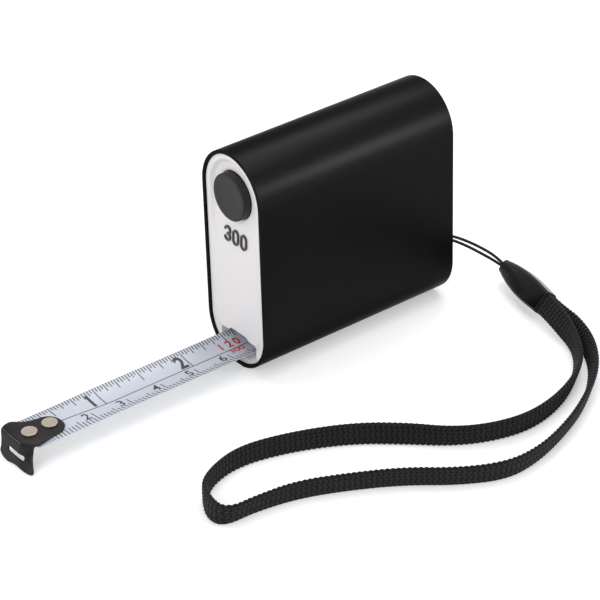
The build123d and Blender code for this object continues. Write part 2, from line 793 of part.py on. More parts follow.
with BuildPart() as brake_lever:
    with BuildSketch(side_plane(0)):
        with BuildLine():
            Polyline(
                (lever_front_x, lever_top_z),
                (lever_back_x, lever_top_z),
                (lever_back_x, button_z - brake_spring_radius - lever_thickness),
                (lever_front_x + lever_knee_reach, lever_knee_z),
                (pivot_x, pivot_z + lever_hub_radius),
                (pivot_x, lever_sole_z),
                (toe_x + toe_length / 2, toe_root_z),
                (toe_x - toe_length / 2, toe_root_z + lever_toe_rise),
                (lever_front_x + lever_chin_reach, lever_chin_z),
                (lever_front_x, button_z - brake_spring_radius - lever_thickness),
                close=True,
            )
        make_face()
        with Locations((pivot_x, pivot_z)):
            Circle(lever_hub_radius)
            Circle(pivot_radius + pivot_clearance, mode=Mode.SUBTRACT)
    extrude(amount=lever_half_width, both=True)
    with BuildSketch(Plane.XY.offset(toe_bottom_z)):
        with Locations((toe_x, 0)):
            Rectangle(toe_length, 2 * toe_half_width)
    extrude(amount=toe_root_z + toe_overlap - toe_bottom_z)
finish(brake_lever.part, "brake_lever")

with BuildPart() as brake_pad:
    with BuildSketch(Plane.XY.offset(pad_bottom_z)):
        with Locations((toe_x, 0)):
            Rectangle(toe_length, 2 * toe_half_width)
    extrude(amount=pad_thickness)
finish(brake_pad.part, "brake_pad")

with BuildPart() as lever_pin:
    with BuildSketch(side_plane(0)):
        with Locations((pivot_x, pivot_z)):
            Circle(pivot_radius)
    extrude(amount=pivot_half_length, both=True)
finish(lever_pin.part, "lever_pin")

coil_rise_length = brake_spring_length - brake_spring_wire - 2 * spring_seat_gap
with BuildPart() as brake_spring:
    with BuildLine():
        turns = Helix(
            pitch=coil_rise_length / brake_spring_turns,
            height=coil_rise_length,
            radius=brake_spring_radius,
            center=(lever_back_x + spring_seat_gap + brake_spring_wire / 2, 0, button_z),
            direction=(1, 0, 0),
        )
    with BuildSketch(Plane(origin=turns @ 0, z_dir=turns % 0)):
        Circle(brake_spring_wire / 2)
    sweep(path=turns, is_frenet=True)
finish(brake_spring.part, "brake_spring")


# ---------------------------------------------------------------- tape guide
guide_top_z = blade_low_z - blade_thickness / 2 - guide_gap
with BuildPart() as tape_guide:
    with BuildSketch(Plane.YZ.offset(cap_back_x + guide_front_gap)):
        with Locations((0, low_centre_z)):
            Circle(cavity_half - guide_fit)
        with Locations((0, guide_top_z - sleeve_width / 2)):
            Rectangle(sleeve_width, sleeve_width, mode=Mode.INTERSECT)
    extrude(amount=guide_length)
finish(tape_guide.part, "tape_guide")


# ---------------------------------------------------------------- wrist strap
def corner_radii(route):
    """Largest even radius at each inner point of a route, from its turn and its shorter run."""
    points = [Vector(*point) for point in route]
    radii = []
    for before, here, after in zip(points, points[1:], points[2:]):
        turn = math.radians((here - before).get_angle(after - here))
        shorter = min((here - before).length, (after - here).length)
        radii.append(radius_share * shorter / math.tan(turn / 2))
    return radii


def report(name, solid, section_area, path, radii):
    """Print the radii, and the volume beside the section times the length."""
    print(name, "length", round(path.length, 1), "radii", [round(r, 1) for r in radii])
    print(name, "volume", round(solid.volume, 2), "by section", round(section_area * path.length, 2))


start = Vector(*ferrule_start)
end = Vector(*ferrule_end)
ferrule_axis = (end - start).normalized()
ferrule_side = ferrule_axis.cross(Vector(0, 0, 1)).normalized() * -1
tilt = math.radians(ferrule_tilt)
ferrule_wide = Vector(0, 0, 1) * math.cos(tilt) + ferrule_side * math.sin(tilt)

with BuildPart() as ferrule:
    for share, (wide, thick, corner) in zip((0, ferrule_waist, 1), ferrule_sizes):
        place = start + (end - start) * share
        with BuildSketch(Plane(origin=place, x_dir=ferrule_wide, z_dir=ferrule_axis)):
            RectangleRounded(wide, thick, corner)
    loft()
finish(ferrule.part, "ferrule")

# The corners inside the rear cap go round the strap pin.
string_radii = [
    pin_turn_radius if corner[0] < rear_face_x else radius
    for corner, radius in zip(string_route[1:-1], corner_radii(string_route))
]
with BuildPart() as string_loop:
    with BuildLine():
        string_path = FilletPolyline(*string_route, radius=string_radii)
    with BuildSketch(Plane(origin=string_path @ 0, z_dir=string_path % 0)):
        Circle(string_diameter / 2)
    sweep(path=string_path)
finish(string_loop.part, "string_loop")
report("string_loop", string_loop.part, math.pi * string_diameter**2 / 4, string_path, string_radii)

strap_radii = corner_radii(strap_route)
with BuildPart() as strap:
    with BuildLine():
        strap_path = FilletPolyline(*strap_route, radius=strap_radii)
    with BuildSketch(Plane(origin=strap_path @ 0, x_dir=(0, 0, 1), z_dir=strap_path % 0)):
        Rectangle(strap_width, strap_thickness)
    sweep(path=strap_path)
finish(strap.part, "strap")
report("strap", strap.part, strap_width * strap_thickness, strap_path, strap_radii)
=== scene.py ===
import math

import bmesh
import bpy
import numpy as np
from mathutils import Matrix, Vector
from mathutils.geometry import delaunay_2d_cdt


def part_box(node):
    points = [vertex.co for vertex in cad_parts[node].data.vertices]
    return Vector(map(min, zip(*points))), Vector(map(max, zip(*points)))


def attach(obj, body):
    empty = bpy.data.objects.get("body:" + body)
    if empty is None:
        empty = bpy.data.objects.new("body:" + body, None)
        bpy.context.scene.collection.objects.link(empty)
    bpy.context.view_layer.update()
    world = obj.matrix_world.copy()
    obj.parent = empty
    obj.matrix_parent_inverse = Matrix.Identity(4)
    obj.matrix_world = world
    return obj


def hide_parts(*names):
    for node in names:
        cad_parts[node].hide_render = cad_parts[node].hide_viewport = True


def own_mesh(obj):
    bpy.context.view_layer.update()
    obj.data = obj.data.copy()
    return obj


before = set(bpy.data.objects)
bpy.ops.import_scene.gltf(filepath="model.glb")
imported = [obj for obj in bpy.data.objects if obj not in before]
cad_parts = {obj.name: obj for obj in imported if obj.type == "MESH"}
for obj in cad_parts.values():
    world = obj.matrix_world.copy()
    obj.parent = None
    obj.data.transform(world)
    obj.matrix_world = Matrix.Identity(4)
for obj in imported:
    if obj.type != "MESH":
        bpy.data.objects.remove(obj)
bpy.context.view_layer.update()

# Pocket tape measure.  The blade is drawn out along -X, +Z is up, and the origin is on the
# underside of the sleeve.  Shapes are worked out in millimetres and made in metres.
MM = 0.001


def box_mm(node):
    """Lowest and highest corner of a CAD node, in millimetres."""
    low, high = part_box(node)
    return np.array(low) / MM, np.array(high) / MM


# ================================================================ camera, light and floor
scene = bpy.context.scene
scene.view_settings.view_transform = "Standard"


def link(obj):
    scene.collection.objects.link(obj)
    return obj


camera_data = bpy.data.cameras.new("camera")
camera_data.lens = 160.94
camera_data.sensor_width = 36.0
camera_data.clip_end = 10.0
camera = link(bpy.data.objects.new("camera", camera_data))
camera.location = (-0.35278, -0.44960, 0.35472)
camera.rotation_euler = [math.radians(a) for a in (58.6419, 1.5257, -38.2339)]
scene.camera = camera


def soft_box(name, place, target, size, power):
    """Rectangular lamp at place, turned to the target; sizes in metres, power in watts."""
    lamp = bpy.data.lights.new(name, "AREA")
    lamp.shape = "RECTANGLE"
    lamp.size, lamp.size_y = size
    lamp.energy = power
    obj = link(bpy.data.objects.new(name, lamp))
    obj.location = place
    obj.rotation_euler = (Vector(target) - Vector(place)).to_track_quat("-Z", "Y").to_euler()


soft_box("lamp_front_left", (-0.75, -0.35, 0.55), (0, 0, 0.02), (0.5, 0.5), 3.3)
soft_box("lamp_overhead", (0.1, 0.0, 0.95), (0, 0, 0.0), (0.7, 0.7), 3.4)
soft_box("lamp_right_strip", (0.62, -0.92, 0.36), (0, 0, 0.04), (0.5, 0.3), 4.6)
soft_box("lamp_rear_strip", (0.6, 0.27, 0.92), (0, 0, 0.04), (0.5, 0.16), 2.0)
soft_box("lamp_far_left", (-0.55, 0.7, 0.52), (-0.09, 0, 0), (0.26, 0.14), 0.95)


class Graph:
    """Adds nodes to a node tree; an input given as a socket is linked, any other is set."""

    def __init__(self, tree):
        self.tree = tree

    def add(self, kind, inputs=None, **settings):
        node = self.tree.nodes.new(kind)
        for name, value in settings.items():
            setattr(node, name, value)
        for key, value in (inputs or {}).items():
            if isinstance(value, bpy.types.NodeSocket):
                self.tree.links.new(value, node.inputs[key])
            else:
                node.inputs[key].default_value = value
        return node

    def math(self, operation, *values, clamp=False):
        return self.add("ShaderNodeMath", dict(enumerate(values)), operation=operation,
                        use_clamp=clamp).outputs[0]

    def mix_colour(self, share, first, second, blend="MIX"):
        return self.add("ShaderNodeMix", {0: share, 6: first, 7: second}, data_type="RGBA",
                        blend_type=blend).outputs[2]

    def ramp(self, value, stops):
        """Colour ramp over value; stops are (position, grey) pairs."""
        node = self.add("ShaderNodeValToRGB", {0: value})
        ramp = node.color_ramp
        while len(ramp.elements) < len(stops):
            ramp.elements.new(1.0)
        for element, (place, grey) in zip(ramp.elements, stops):
            element.position = place
            element.color = (grey, grey, grey, 1)
        return node.outputs[0]


def new_material(name):
    material = bpy.data.materials.new(name)
    material.use_nodes = True
    material.node_tree.nodes.clear()
    return material, Graph(material.node_tree)


def close_material(graph, sockets):
    """The end of a material: one Principled BSDF with these sockets linked or set."""
    shader = graph.add("ShaderNodeBsdfPrincipled", sockets)
    graph.add("ShaderNodeOutputMaterial", {"Surface": shader.outputs[0]})


def background_rays(graph):
    """1 for camera, glossy and transmission rays, 0 for the others."""
    path = graph.add("ShaderNodeLightPath")
    seen = graph.math("ADD", path.outputs["Is Camera Ray"], path.outputs["Is Glossy Ray"])
    return graph.math("ADD", seen, path.outputs["Is Transmission Ray"], clamp=True)


def make_world():
    """Soft even light on the object, and white where the background shows."""
    world = bpy.data.worlds.new("studio")
    scene.world = world
    world.use_nodes = True
    world.node_tree.nodes.clear()
    graph = Graph(world.node_tree)
    ambient = graph.add("ShaderNodeBackground", {"Color": (0.985, 0.985, 1.0, 1),
                                                 "Strength": 0.42})
    backdrop = graph.add("ShaderNodeBackground", {"Color": (1, 1, 1, 1), "Strength": 1.0})
    shown = graph.add("ShaderNodeMixShader", {0: background_rays(graph), 1: ambient.outputs[0],
                                              2: backdrop.outputs[0]})
    graph.add("ShaderNodeOutputWorld", {"Surface": shown.outputs[0]})


make_world()


def make_floor():
    """Pale matt floor that keeps the shadow and shows white beside it."""
    lift, reach = 0.35, 4.0
    material, graph = new_material("studio_floor")
    matt = graph.add("ShaderNodeBsdfDiffuse", {"Color": (0.8, 0.8, 0.8, 1)})
    glow = graph.add("ShaderNodeEmission", {
        "Color": (1, 1, 1, 1), "Strength": graph.math("MULTIPLY", background_rays(graph), lift)})
    both = graph.add("ShaderNodeAddShader", {0: matt.outputs[0], 1: glow.outputs[0]})
    graph.add("ShaderNodeOutputMaterial", {"Surface": both.outputs[0]})
    mesh = bpy.data.meshes.new("floor")
    corners = [(-reach, -reach, 0), (reach, -reach, 0), (reach, reach, 0), (-reach, reach, 0)]
    mesh.from_pydata(corners, [], [(0, 1, 2, 3)])
    mesh.materials.append(material)
    link(bpy.data.objects.new("floor", mesh))


make_floor()


# ================================================================ shader groups
NUMBER, COLOUR, VECTOR = "NodeSocketFloat", "NodeSocketColor", "NodeSocketVector"
WHOLE, OBJECT, MATERIAL = "NodeSocketInt", "NodeSocketObject", "NodeSocketMaterial"
GEOMETRY = "NodeSocketGeometry"


def new_group(name, inputs, outputs, kind="ShaderNodeTree"):
    """Node group with named sockets: (name, type, default) for an input, then (name, type)."""
    tree = bpy.data.node_groups.new(name, kind)
    for label, socket_type, default in inputs:
        socket = tree.interface.new_socket(name=label, in_out="INPUT", socket_type=socket_type)
        if default is not None:
            socket.default_value = default
    for label, socket_type in outputs:
        tree.interface.new_socket(name=label, in_out="OUTPUT", socket_type=socket_type)
    graph = Graph(tree)
    return graph, graph.add("NodeGroupInput").outputs, graph.add("NodeGroupOutput").inputs


def close_group(graph, made, values):
    """The end of a group: each named output linked to its value."""
    for label, value in values.items():
        graph.tree.links.new(value, made[label])
    return graph.tree


def fine_grain_group():
    """Grain of a moulded, blasted or painted surface: colour, roughness and height that vary."""
    graph, given, made = new_group(
        "fine_grain",
        [("Vector", VECTOR, (0, 0, 0)), ("Grain Scale", NUMBER, 4000.0),
         ("Cloud Scale", NUMBER, 60.0), ("Colour", COLOUR, (0.5, 0.5, 0.5, 1)),
         ("Colour Shift", NUMBER, 0.05), ("Roughness", NUMBER, 0.4),
         ("Roughness Shift", NUMBER, 0.06)],
        [("Colour", COLOUR), ("Roughness", NUMBER), ("Height", NUMBER)])
    grain = graph.add("ShaderNodeTexNoise", {"Vector": given["Vector"],
                                             "Scale": given["Grain Scale"], "Detail": 3.0})
    cloud = graph.add("ShaderNodeTexNoise", {"Vector": given["Vector"],
                                             "Scale": given["Cloud Scale"], "Detail": 4.0})
    grain_swing = graph.math("SUBTRACT", grain.outputs["Fac"], 0.5)
    cloud_swing = graph.math("SUBTRACT", cloud.outputs["Fac"], 0.5)
    swing = graph.math("ADD", grain_swing, cloud_swing)
    factor = graph.math("MULTIPLY_ADD", swing, given["Colour Shift"], 1.0)
    scaled = graph.add("ShaderNodeVectorMath", {0: given["Colour"], "Scale": factor},
                       operation="SCALE")
    rough = graph.math("MULTIPLY_ADD", cloud_swing, given["Roughness Shift"],
                       given["Roughness"])
    rough = graph.math("MULTIPLY_ADD", grain_swing, given["Roughness Shift"], rough)
    return close_group(graph, made, {"Colour": scaled.outputs[0], "Roughness": rough,
                                     "Height": grain.outputs["Fac"]})


def rubbed_edges_group():
    """Mask of the edges that handling has rubbed: 1 on a sharp edge, broken up by noise."""
    sharpness = 9.0
    graph, given, made = new_group(
        "rubbed_edges",
        [("Vector", VECTOR, (0, 0, 0)), ("Radius", NUMBER, 0.0003),
         ("Amount", NUMBER, 0.5), ("Break Scale", NUMBER, 900.0)],
        [("Mask", NUMBER)])
    rounded = graph.add("ShaderNodeBevel", {"Radius": given["Radius"]}, samples=6)
    surface = graph.add("ShaderNodeNewGeometry")
    along = graph.add("ShaderNodeVectorMath", {0: rounded.outputs[0],
                                               1: surface.outputs["Normal"]},
                      operation="DOT_PRODUCT")
    bent = graph.math("SUBTRACT", 1.0, along.outputs["Value"])
    bent = graph.math("MULTIPLY", bent, sharpness, clamp=True)
    breaks = graph.add("ShaderNodeTexNoise", {"Vector": given["Vector"],
                                              "Scale": given["Break Scale"], "Detail": 5.0})
    patchy = graph.ramp(breaks.outputs["Fac"], [(0.42, 0.0), (0.62, 1.0)])
    mask = graph.math("MULTIPLY", graph.math("MULTIPLY", bent, patchy), given["Amount"],
                      clamp=True)
    return close_group(graph, made, {"Mask": mask})


def specks_group():
    """Sparse specks of dust and lint, as a mask."""
    speck_radius = 0.09
    graph, given, made = new_group(
        "specks",
        [("Vector", VECTOR, (0, 0, 0)), ("Scale", NUMBER, 900.0), ("Share", NUMBER, 0.02),
         ("Amount", NUMBER, 0.5)],
        [("Mask", NUMBER)])
    cells = graph.add("ShaderNodeTexVoronoi", {"Vector": given["Vector"],
                                               "Scale": given["Scale"]})
    chosen = graph.add("ShaderNodeTexWhiteNoise", {"Vector": cells.outputs["Position"]})
    few = graph.math("LESS_THAN", chosen.outputs["Value"], given["Share"])
    near = graph.math("LESS_THAN", cells.outputs["Distance"], speck_radius)
    mask = graph.math("MULTIPLY", graph.math("MULTIPLY", few, near), given["Amount"])
    return close_group(graph, made, {"Mask": mask})


fine_grain = fine_grain_group()
rubbed_edges = rubbed_edges_group()
specks = specks_group()


# ================================================================ materials
def srgb(red, green, blue):
    """Linear colour from screen values of 0 to 255."""
    shares = (red / 255, green / 255, blue / 255)
    return tuple(c / 12.92 if c <= 0.04045 else ((c + 0.055) / 1.055) ** 2.4
                 for c in shares) + (1.0,)


DUST_COLOUR = (0.45, 0.43, 0.4, 1)
LINT_COLOUR = (0.3, 0.29, 0.28, 1)


def surface(name, colour, roughness, grain_scale=4000.0, cloud_scale=60.0, colour_shift=0.08,
            roughness_shift=0.08, bump=0.02, grain_depth=0.00002, wear=None, wear_colour=None,
            dust=0.0, shader=None):
    """Material of grain, rubbed edges and dust.

    wear is the (radius, amount) of the rubbed edges, and shader sets the Principled BSDF's
    own sockets."""
    material, graph = new_material(name)
    place = graph.add("ShaderNodeTexCoord").outputs["Object"]
    grain = graph.add("ShaderNodeGroup", {
        "Vector": place, "Grain Scale": grain_scale, "Cloud Scale": cloud_scale,
        "Colour": colour, "Colour Shift": colour_shift, "Roughness": roughness,
        "Roughness Shift": roughness_shift}, node_tree=fine_grain)
    tint = grain.outputs["Colour"]
    rough = grain.outputs["Roughness"]
    if wear:
        radius, amount = wear
        rubbed = graph.add("ShaderNodeGroup", {"Vector": place, "Radius": radius,
                                               "Amount": amount}, node_tree=rubbed_edges)
        tint = graph.mix_colour(rubbed.outputs["Mask"], tint, wear_colour)
    if dust:
        dusty = graph.add("ShaderNodeGroup", {"Vector": place, "Amount": dust},
                          node_tree=specks)
        tint = graph.mix_colour(dusty.outputs["Mask"], tint, DUST_COLOUR)
        rough = graph.math("MAXIMUM", rough, dusty.outputs["Mask"])
    bumped = graph.add("ShaderNodeBump", {"Strength": bump, "Distance": grain_depth,
                                          "Height": grain.outputs["Height"]})
    close_material(graph, {"Base Color": tint, "Roughness": rough,
                           "Normal": bumped.outputs[0], **(shader or {})})
    return material


black_anodised = surface(
    "black_anodised", srgb(29, 29, 29), 0.37, grain_scale=9000.0, cloud_scale=45.0,
    colour_shift=0.25, roughness_shift=0.05, bump=0.35, grain_depth=0.000012,
    wear=(0.00025, 0.3), wear_colour=srgb(70, 70, 73), dust=0.1,
    shader={"Metallic": 1.0, "Specular Tint": (0.5, 0.5, 0.5, 1)})
white_plastic = surface(
    "white_plastic", srgb(236, 233, 234), 0.42, grain_scale=6000.0, cloud_scale=80.0,
    colour_shift=0.02, roughness_shift=0.08, bump=0.25, grain_depth=0.00001, dust=0.12,
    shader={"Subsurface Weight": 0.06, "Subsurface Scale": 0.001})
number_plastic = surface(
    "number_plastic", srgb(52, 48, 50), 0.38, grain_scale=6000.0, bump=0.2,
    grain_depth=0.00001)
button_plastic = surface(
    "button_plastic", srgb(39, 36, 39), 0.5, grain_scale=5000.0, cloud_scale=150.0,
    colour_shift=0.1, bump=0.5, grain_depth=0.000015, wear=(0.0004, 0.15),
    wear_colour=srgb(95, 93, 97), dust=0.1, shader={"Specular IOR Level": 0.22})
case_plastic = surface(
    "case_plastic", srgb(40, 40, 42), 0.5, grain_scale=3500.0, bump=0.5, grain_depth=0.00002)
drum_plastic = surface(
    "drum_plastic", srgb(200, 200, 196), 0.45, grain_scale=3500.0, bump=0.4,
    grain_depth=0.00002)
guide_plastic = surface(
    "guide_plastic", srgb(222, 221, 224), 0.42, grain_scale=4500.0, bump=0.3,
    grain_depth=0.00001)
steel = surface(
    "steel", srgb(170, 170, 172), 0.3, grain_scale=5000.0, bump=0.3, grain_depth=0.00001,
    shader={"Metallic": 1.0})
spring_steel = surface(
    "spring_steel", srgb(120, 124, 134), 0.28, grain_scale=5000.0, cloud_scale=200.0,
    bump=0.2, grain_depth=0.00001, shader={"Metallic": 1.0})
rivet_nickel = surface(
    "rivet_nickel", srgb(166, 155, 144), 0.46, grain_scale=3800.0, cloud_scale=420.0,
    colour_shift=0.12, roughness_shift=0.12, bump=0.5, grain_depth=0.00002,
    wear=(0.0003, 0.5), wear_colour=srgb(222, 208, 180),
    shader={"Metallic": 0.85})
hook_steel = surface(
    "hook_steel", srgb(23, 17, 20), 0.2, grain_scale=1500.0, cloud_scale=250.0,
    colour_shift=0.15, roughness_shift=0.1, bump=0.6, grain_depth=0.00003,
    wear=(0.0003, 0.45), wear_colour=srgb(80, 76, 76), dust=0.1,
    shader={"Specular IOR Level": 0.02, "Coat Weight": 0.4, "Coat Roughness": 0.14})
pad_rubber = surface(
    "pad_rubber", srgb(30, 30, 30), 0.8, grain_scale=3000.0, bump=0.8, grain_depth=0.00003)
ferrule_plastic = surface(
    "ferrule_plastic", srgb(11, 9, 12), 0.2, grain_scale=2500.0, cloud_scale=120.0,
    colour_shift=0.1, roughness_shift=0.08, bump=0.15, grain_depth=0.00001,
    wear=(0.0004, 0.25), wear_colour=srgb(70, 68, 72), dust=0.12,
    shader={"Specular IOR Level": 0.2})
print_black = surface(
    "print_black", srgb(40, 37, 44), 0.45, grain_scale=7000.0, cloud_scale=900.0,
    colour_shift=0.35, bump=0.1, grain_depth=0.000005)
print_red = surface(
    "print_red", srgb(186, 34, 42), 0.45, grain_scale=7000.0, cloud_scale=900.0,
    colour_shift=0.25, bump=0.1, grain_depth=0.000005)
blade_paint = surface(
    "blade_paint", srgb(189, 195, 206), 0.42, grain_scale=2600.0, cloud_scale=160.0,
    colour_shift=0.05, roughness_shift=0.12, bump=0.25, grain_depth=0.00001,
    wear=(0.0001, 0.6), wear_colour=srgb(128, 132, 140), dust=0.1,
    shader={"Coat Weight": 0.1, "Coat Roughness": 0.25})


def coil_material():
    """Blade wound up: fine rings round the middle of the coil, edge on, with painted shade in the
    gaps between the turns.
    """
    rings_per_metre = 6000.0
    material, graph = new_material("coil_paint")
    low, high = box_mm("tape_coil")
    place = graph.add("ShaderNodeTexCoord").outputs["Object"]
    middle = (low + high) / 2 * MM
    moved = graph.add("ShaderNodeVectorMath", {0: place, 1: (middle[0], 0, middle[2])},
                      operation="SUBTRACT")
    flat = graph.add("ShaderNodeVectorMath", {0: moved.outputs[0], 1: (1, 0, 1)},
                     operation="MULTIPLY")
    radius = graph.add("ShaderNodeVectorMath", {0: flat.outputs[0]}, operation="LENGTH")
    rings = graph.math("FRACT", graph.math("MULTIPLY", radius.outputs["Value"],
                                           rings_per_metre))
    # Painted shade: the colour darkens towards the gap between two turns; the same rings also give
    # the bump.
    gap = graph.ramp(rings, [(0.0, 0.35), (0.25, 1.0), (0.85, 1.0), (1.0, 0.4)])
    grain = graph.add("ShaderNodeGroup", {"Vector": place, "Grain Scale": 3000.0,
                                          "Colour": srgb(188, 196, 208), "Colour Shift": 0.12,
                                          "Roughness": 0.4}, node_tree=fine_grain)
    tint = graph.mix_colour(1.0, grain.outputs["Colour"], gap, "MULTIPLY")
    bump = graph.add("ShaderNodeBump", {"Strength": 0.6, "Distance": 0.00004, "Height": gap})
    close_material(graph, {"Base Color": tint, "Roughness": grain.outputs["Roughness"],
                           "Normal": bump.outputs[0]})
    return material


coil_paint = coil_material()


def thread_material(name, colour, thread_count, thread_angle, ridge_depth):
    """Spun fibre: fine ridges across the piece's own UV map, with a soft sheen and painted shade in
    the crevices between strands.
    """
    material, graph = new_material(name)
    flat = graph.add("ShaderNodeUVMap", uv_map="UVMap").outputs[0]
    turned = graph.add("ShaderNodeMapping", {"Vector": flat,
                                             "Rotation": (0, 0, math.radians(thread_angle))})
    ridges = graph.add("ShaderNodeTexWave", {"Vector": turned.outputs[0],
                                             "Scale": thread_count, "Distortion": 1.5,
                                             "Detail": 2.0, "Detail Scale": 1.0})
    place = graph.add("ShaderNodeTexCoord").outputs["Object"]
    grain = graph.add("ShaderNodeGroup", {"Vector": place, "Grain Scale": 5000.0,
                                          "Cloud Scale": 300.0, "Colour": colour,
                                          "Colour Shift": 0.5, "Roughness": 0.75,
                                          "Roughness Shift": 0.15}, node_tree=fine_grain)
    lint = graph.add("ShaderNodeGroup", {"Vector": place, "Scale": 1500.0, "Share": 0.012,
                                         "Amount": 0.35}, node_tree=specks)
    shade = graph.ramp(ridges.outputs["Fac"], [(0.0, 0.6), (0.6, 1.0)])
    tint = graph.mix_colour(1.0, grain.outputs["Colour"], shade, "MULTIPLY")
    # Painted shade: the crevices between the braid's strands are darkened by the crest attribute; a
    # piece whose crest is 1 all over gets none.
    crest = graph.add("ShaderNodeAttribute", attribute_name="crest").outputs["Fac"]
    tint = graph.mix_colour(1.0, tint, graph.ramp(crest, [(0.3, 0.12), (0.9, 1.0)]), "MULTIPLY")
    tint = graph.mix_colour(lint.outputs["Mask"], tint, LINT_COLOUR)
    ridge = graph.add("ShaderNodeBump", {"Strength": 0.6, "Distance": ridge_depth,
                                         "Height": ridges.outputs["Fac"]})
    fuzz = graph.add("ShaderNodeBump", {"Strength": 0.4, "Distance": 0.00003,
                                        "Height": grain.outputs["Height"],
                                        "Normal": ridge.outputs[0]})
    close_material(graph, {"Base Color": tint, "Roughness": grain.outputs["Roughness"],
                           "Normal": fuzz.outputs[0], "Sheen Weight": 0.08,
                           "Sheen Roughness": 0.5, "Specular IOR Level": 0.15})
    return material


strap_fabric = thread_material("strap_fabric", srgb(38, 32, 33), 2.6, 38.0, 0.00004)
string_fabric = thread_material("string_fabric", srgb(34, 30, 29), 3.0, 55.0, 0.00003)


# ================================================================ mesh helpers
def shade(mesh, sharp_angle):
    """Smooth shading, up to an angle in degrees between two faces."""
    mesh.shade_smooth()
    mesh.set_sharp_from_angle(angle=math.radians(sharp_angle))


def dressed(name, mesh, material, sharp_angle):
    """Piece at the origin, shaded and with its material."""
    shade(mesh, sharp_angle)
    mesh.materials.append(material)
    return link(bpy.data.objects.new(name, mesh))


def mesh_in_mm(name, points, faces):
    mesh = bpy.data.meshes.new(name)
    mesh.from_pydata([tuple(float(c) * MM for c in p) for p in points], [], faces)
    return mesh


def face_outwards(mesh, merged):
    """Turn the faces outwards, once the doubles are merged where merged is true."""
    work = bmesh.new()
    work.from_mesh(mesh)
    if merged:
        bmesh.ops.remove_doubles(work, verts=work.verts, dist=1e-7)
        bmesh.ops.dissolve_degenerate(work, dist=1e-8, edges=work.edges)
    bmesh.ops.recalc_face_normals(work, faces=work.faces)
    work.to_mesh(mesh)
    work.free()


def mesh_piece(name, points, faces, material, sharp_angle=32.0):
    """Piece from points in millimetres; doubles merged and normals outwards."""
    mesh = mesh_in_mm(name, points, faces)
    face_outwards(mesh, merged=True)
    return dressed(name, mesh, material, sharp_angle)


def skin(loops, closed=False, capped=True):
    """Points and faces of a skin over loops of equal length; closed joins the last to the first."""
    count, rows = len(loops[0]), len(loops)
    points = [p for loop in loops for p in loop]
    faces = []
    for i in range(rows if closed else rows - 1):
        a, b = i * count, (i + 1) % rows * count
        for j in range(count):
            k = (j + 1) % count
            faces.append((a + j, a + k, b + k, b + j))
    if capped and not closed:
        faces.append(tuple(range(count)))
        faces.append(tuple(range((rows - 1) * count, rows * count)))
    return points, faces


def joined(*parts):
    """One (points, faces) pair from several."""
    points, faces = [], []
    for part_points, part_faces in parts:
        start = len(points)
        points += list(part_points)
        faces += [tuple(i + start for i in face) for face in part_faces]
    return points, faces


def use(obj, body, nodes=()):
    """The piece rides on a body, and stands for CAD nodes."""
    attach(obj, body)
    if nodes:
        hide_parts(*nodes)
    return obj


def evaluated_mesh(obj):
    """New mesh of an object as its modifiers or its curve settings make it."""
    bpy.context.view_layer.update()
    graph = bpy.context.evaluated_depsgraph_get()
    return bpy.data.meshes.new_from_object(obj.evaluated_get(graph))


# ================================================================ outlines and flat shapes
def whole_turn(steps):
    """Even angles all the way round, the last one short of the first."""
    return np.linspace(0, 2 * math.pi, steps, endpoint=False)


def quarter_turn(steps):
    """Even angles from 0 to a right angle, both included."""
    return np.linspace(0, math.pi / 2, steps)


def rounding(steps, radius):
    """(inset, drop) pairs of a quarter round, from the side of an edge to its face."""
    return [(radius * (1 - math.cos(a)), radius * (1 - math.sin(a)))
            for a in quarter_turn(steps)]


def edge_drop(distance, radius):
    """How far a quarter-round edge lies below its face, at a distance from the side."""
    if distance >= radius:
        return 0.0
    return radius - math.sqrt(max(radius**2 - (radius - max(distance, 0.0)) ** 2, 0.0))


def smooth_share(value):
    """Share from 0 to 1 that eases in and out."""
    value = min(max(value, 0.0), 1.0)
    return value * value * (3 - 2 * value)


def circle(radius, y, z, steps=96):
    """Closed outline of a circle about (y, z)."""
    return [(y + radius * math.cos(a), z + radius * math.sin(a)) for a in whole_turn(steps)]


def rounded_rectangle(width, height, corner, steps):
    """Closed outline of width by height, centred; each corner has steps points."""
    corner = min(corner, width / 2 - 0.01, height / 2 - 0.01)
    loop = []
    for turn, (sa, sb) in enumerate(((1, 1), (-1, 1), (-1, -1), (1, -1))):
        for a in quarter_turn(steps) + turn * math.pi / 2:
            loop.append((sa * (width / 2 - corner) + corner * math.cos(a),
                         sb * (height / 2 - corner) + corner * math.sin(a)))
    return loop


def stadium(half_width, low_z, high_z, steps=64):
    """Closed outline of a round-ended shape in (y, z), its end centres at low_z and high_z."""
    half_turn = np.linspace(0, math.pi, steps)
    side = np.linspace(0, 1, 9)[1:-1]
    loop = []
    for sign, start, end in ((1, high_z, low_z), (-1, low_z, high_z)):
        loop += [(sign * half_width * math.cos(a), start + sign * half_width * math.sin(a))
                 for a in half_turn]
        loop += [(-sign * half_width, start + (end - start) * share) for share in side]
    return loop


def stadium_distance(y, z, half_width, low_z, high_z):
    """Distance from a round-ended outline, negative inside."""
    return math.hypot(y, z - min(max(z, low_z), high_z)) - half_width


def inside(u, v, outline):
    """Whether a point is inside a closed outline."""
    hit = False
    last_u, last_v = outline[-1]
    for next_u, next_v in outline:
        if (next_v > v) != (last_v > v):
            if u < (last_u - next_u) * (v - next_v) / (last_v - next_v) + next_u:
                hit = not hit
        last_u, last_v = next_u, next_v
    return hit


def path_distance(path, closed):
    """Function giving the distance from a path."""
    a = np.array(path)
    b = np.roll(a, -1, axis=0)
    if not closed:
        a, b = a[:-1], b[:-1]
    d = b - a

    def distance(u, v):
        p = np.array((u, v))
        share = np.clip(((p - a) * d).sum(1) / np.maximum((d * d).sum(1), 1e-12), 0, 1)
        return float(np.linalg.norm(p - a - share[:, None] * d, axis=1).min())

    return distance


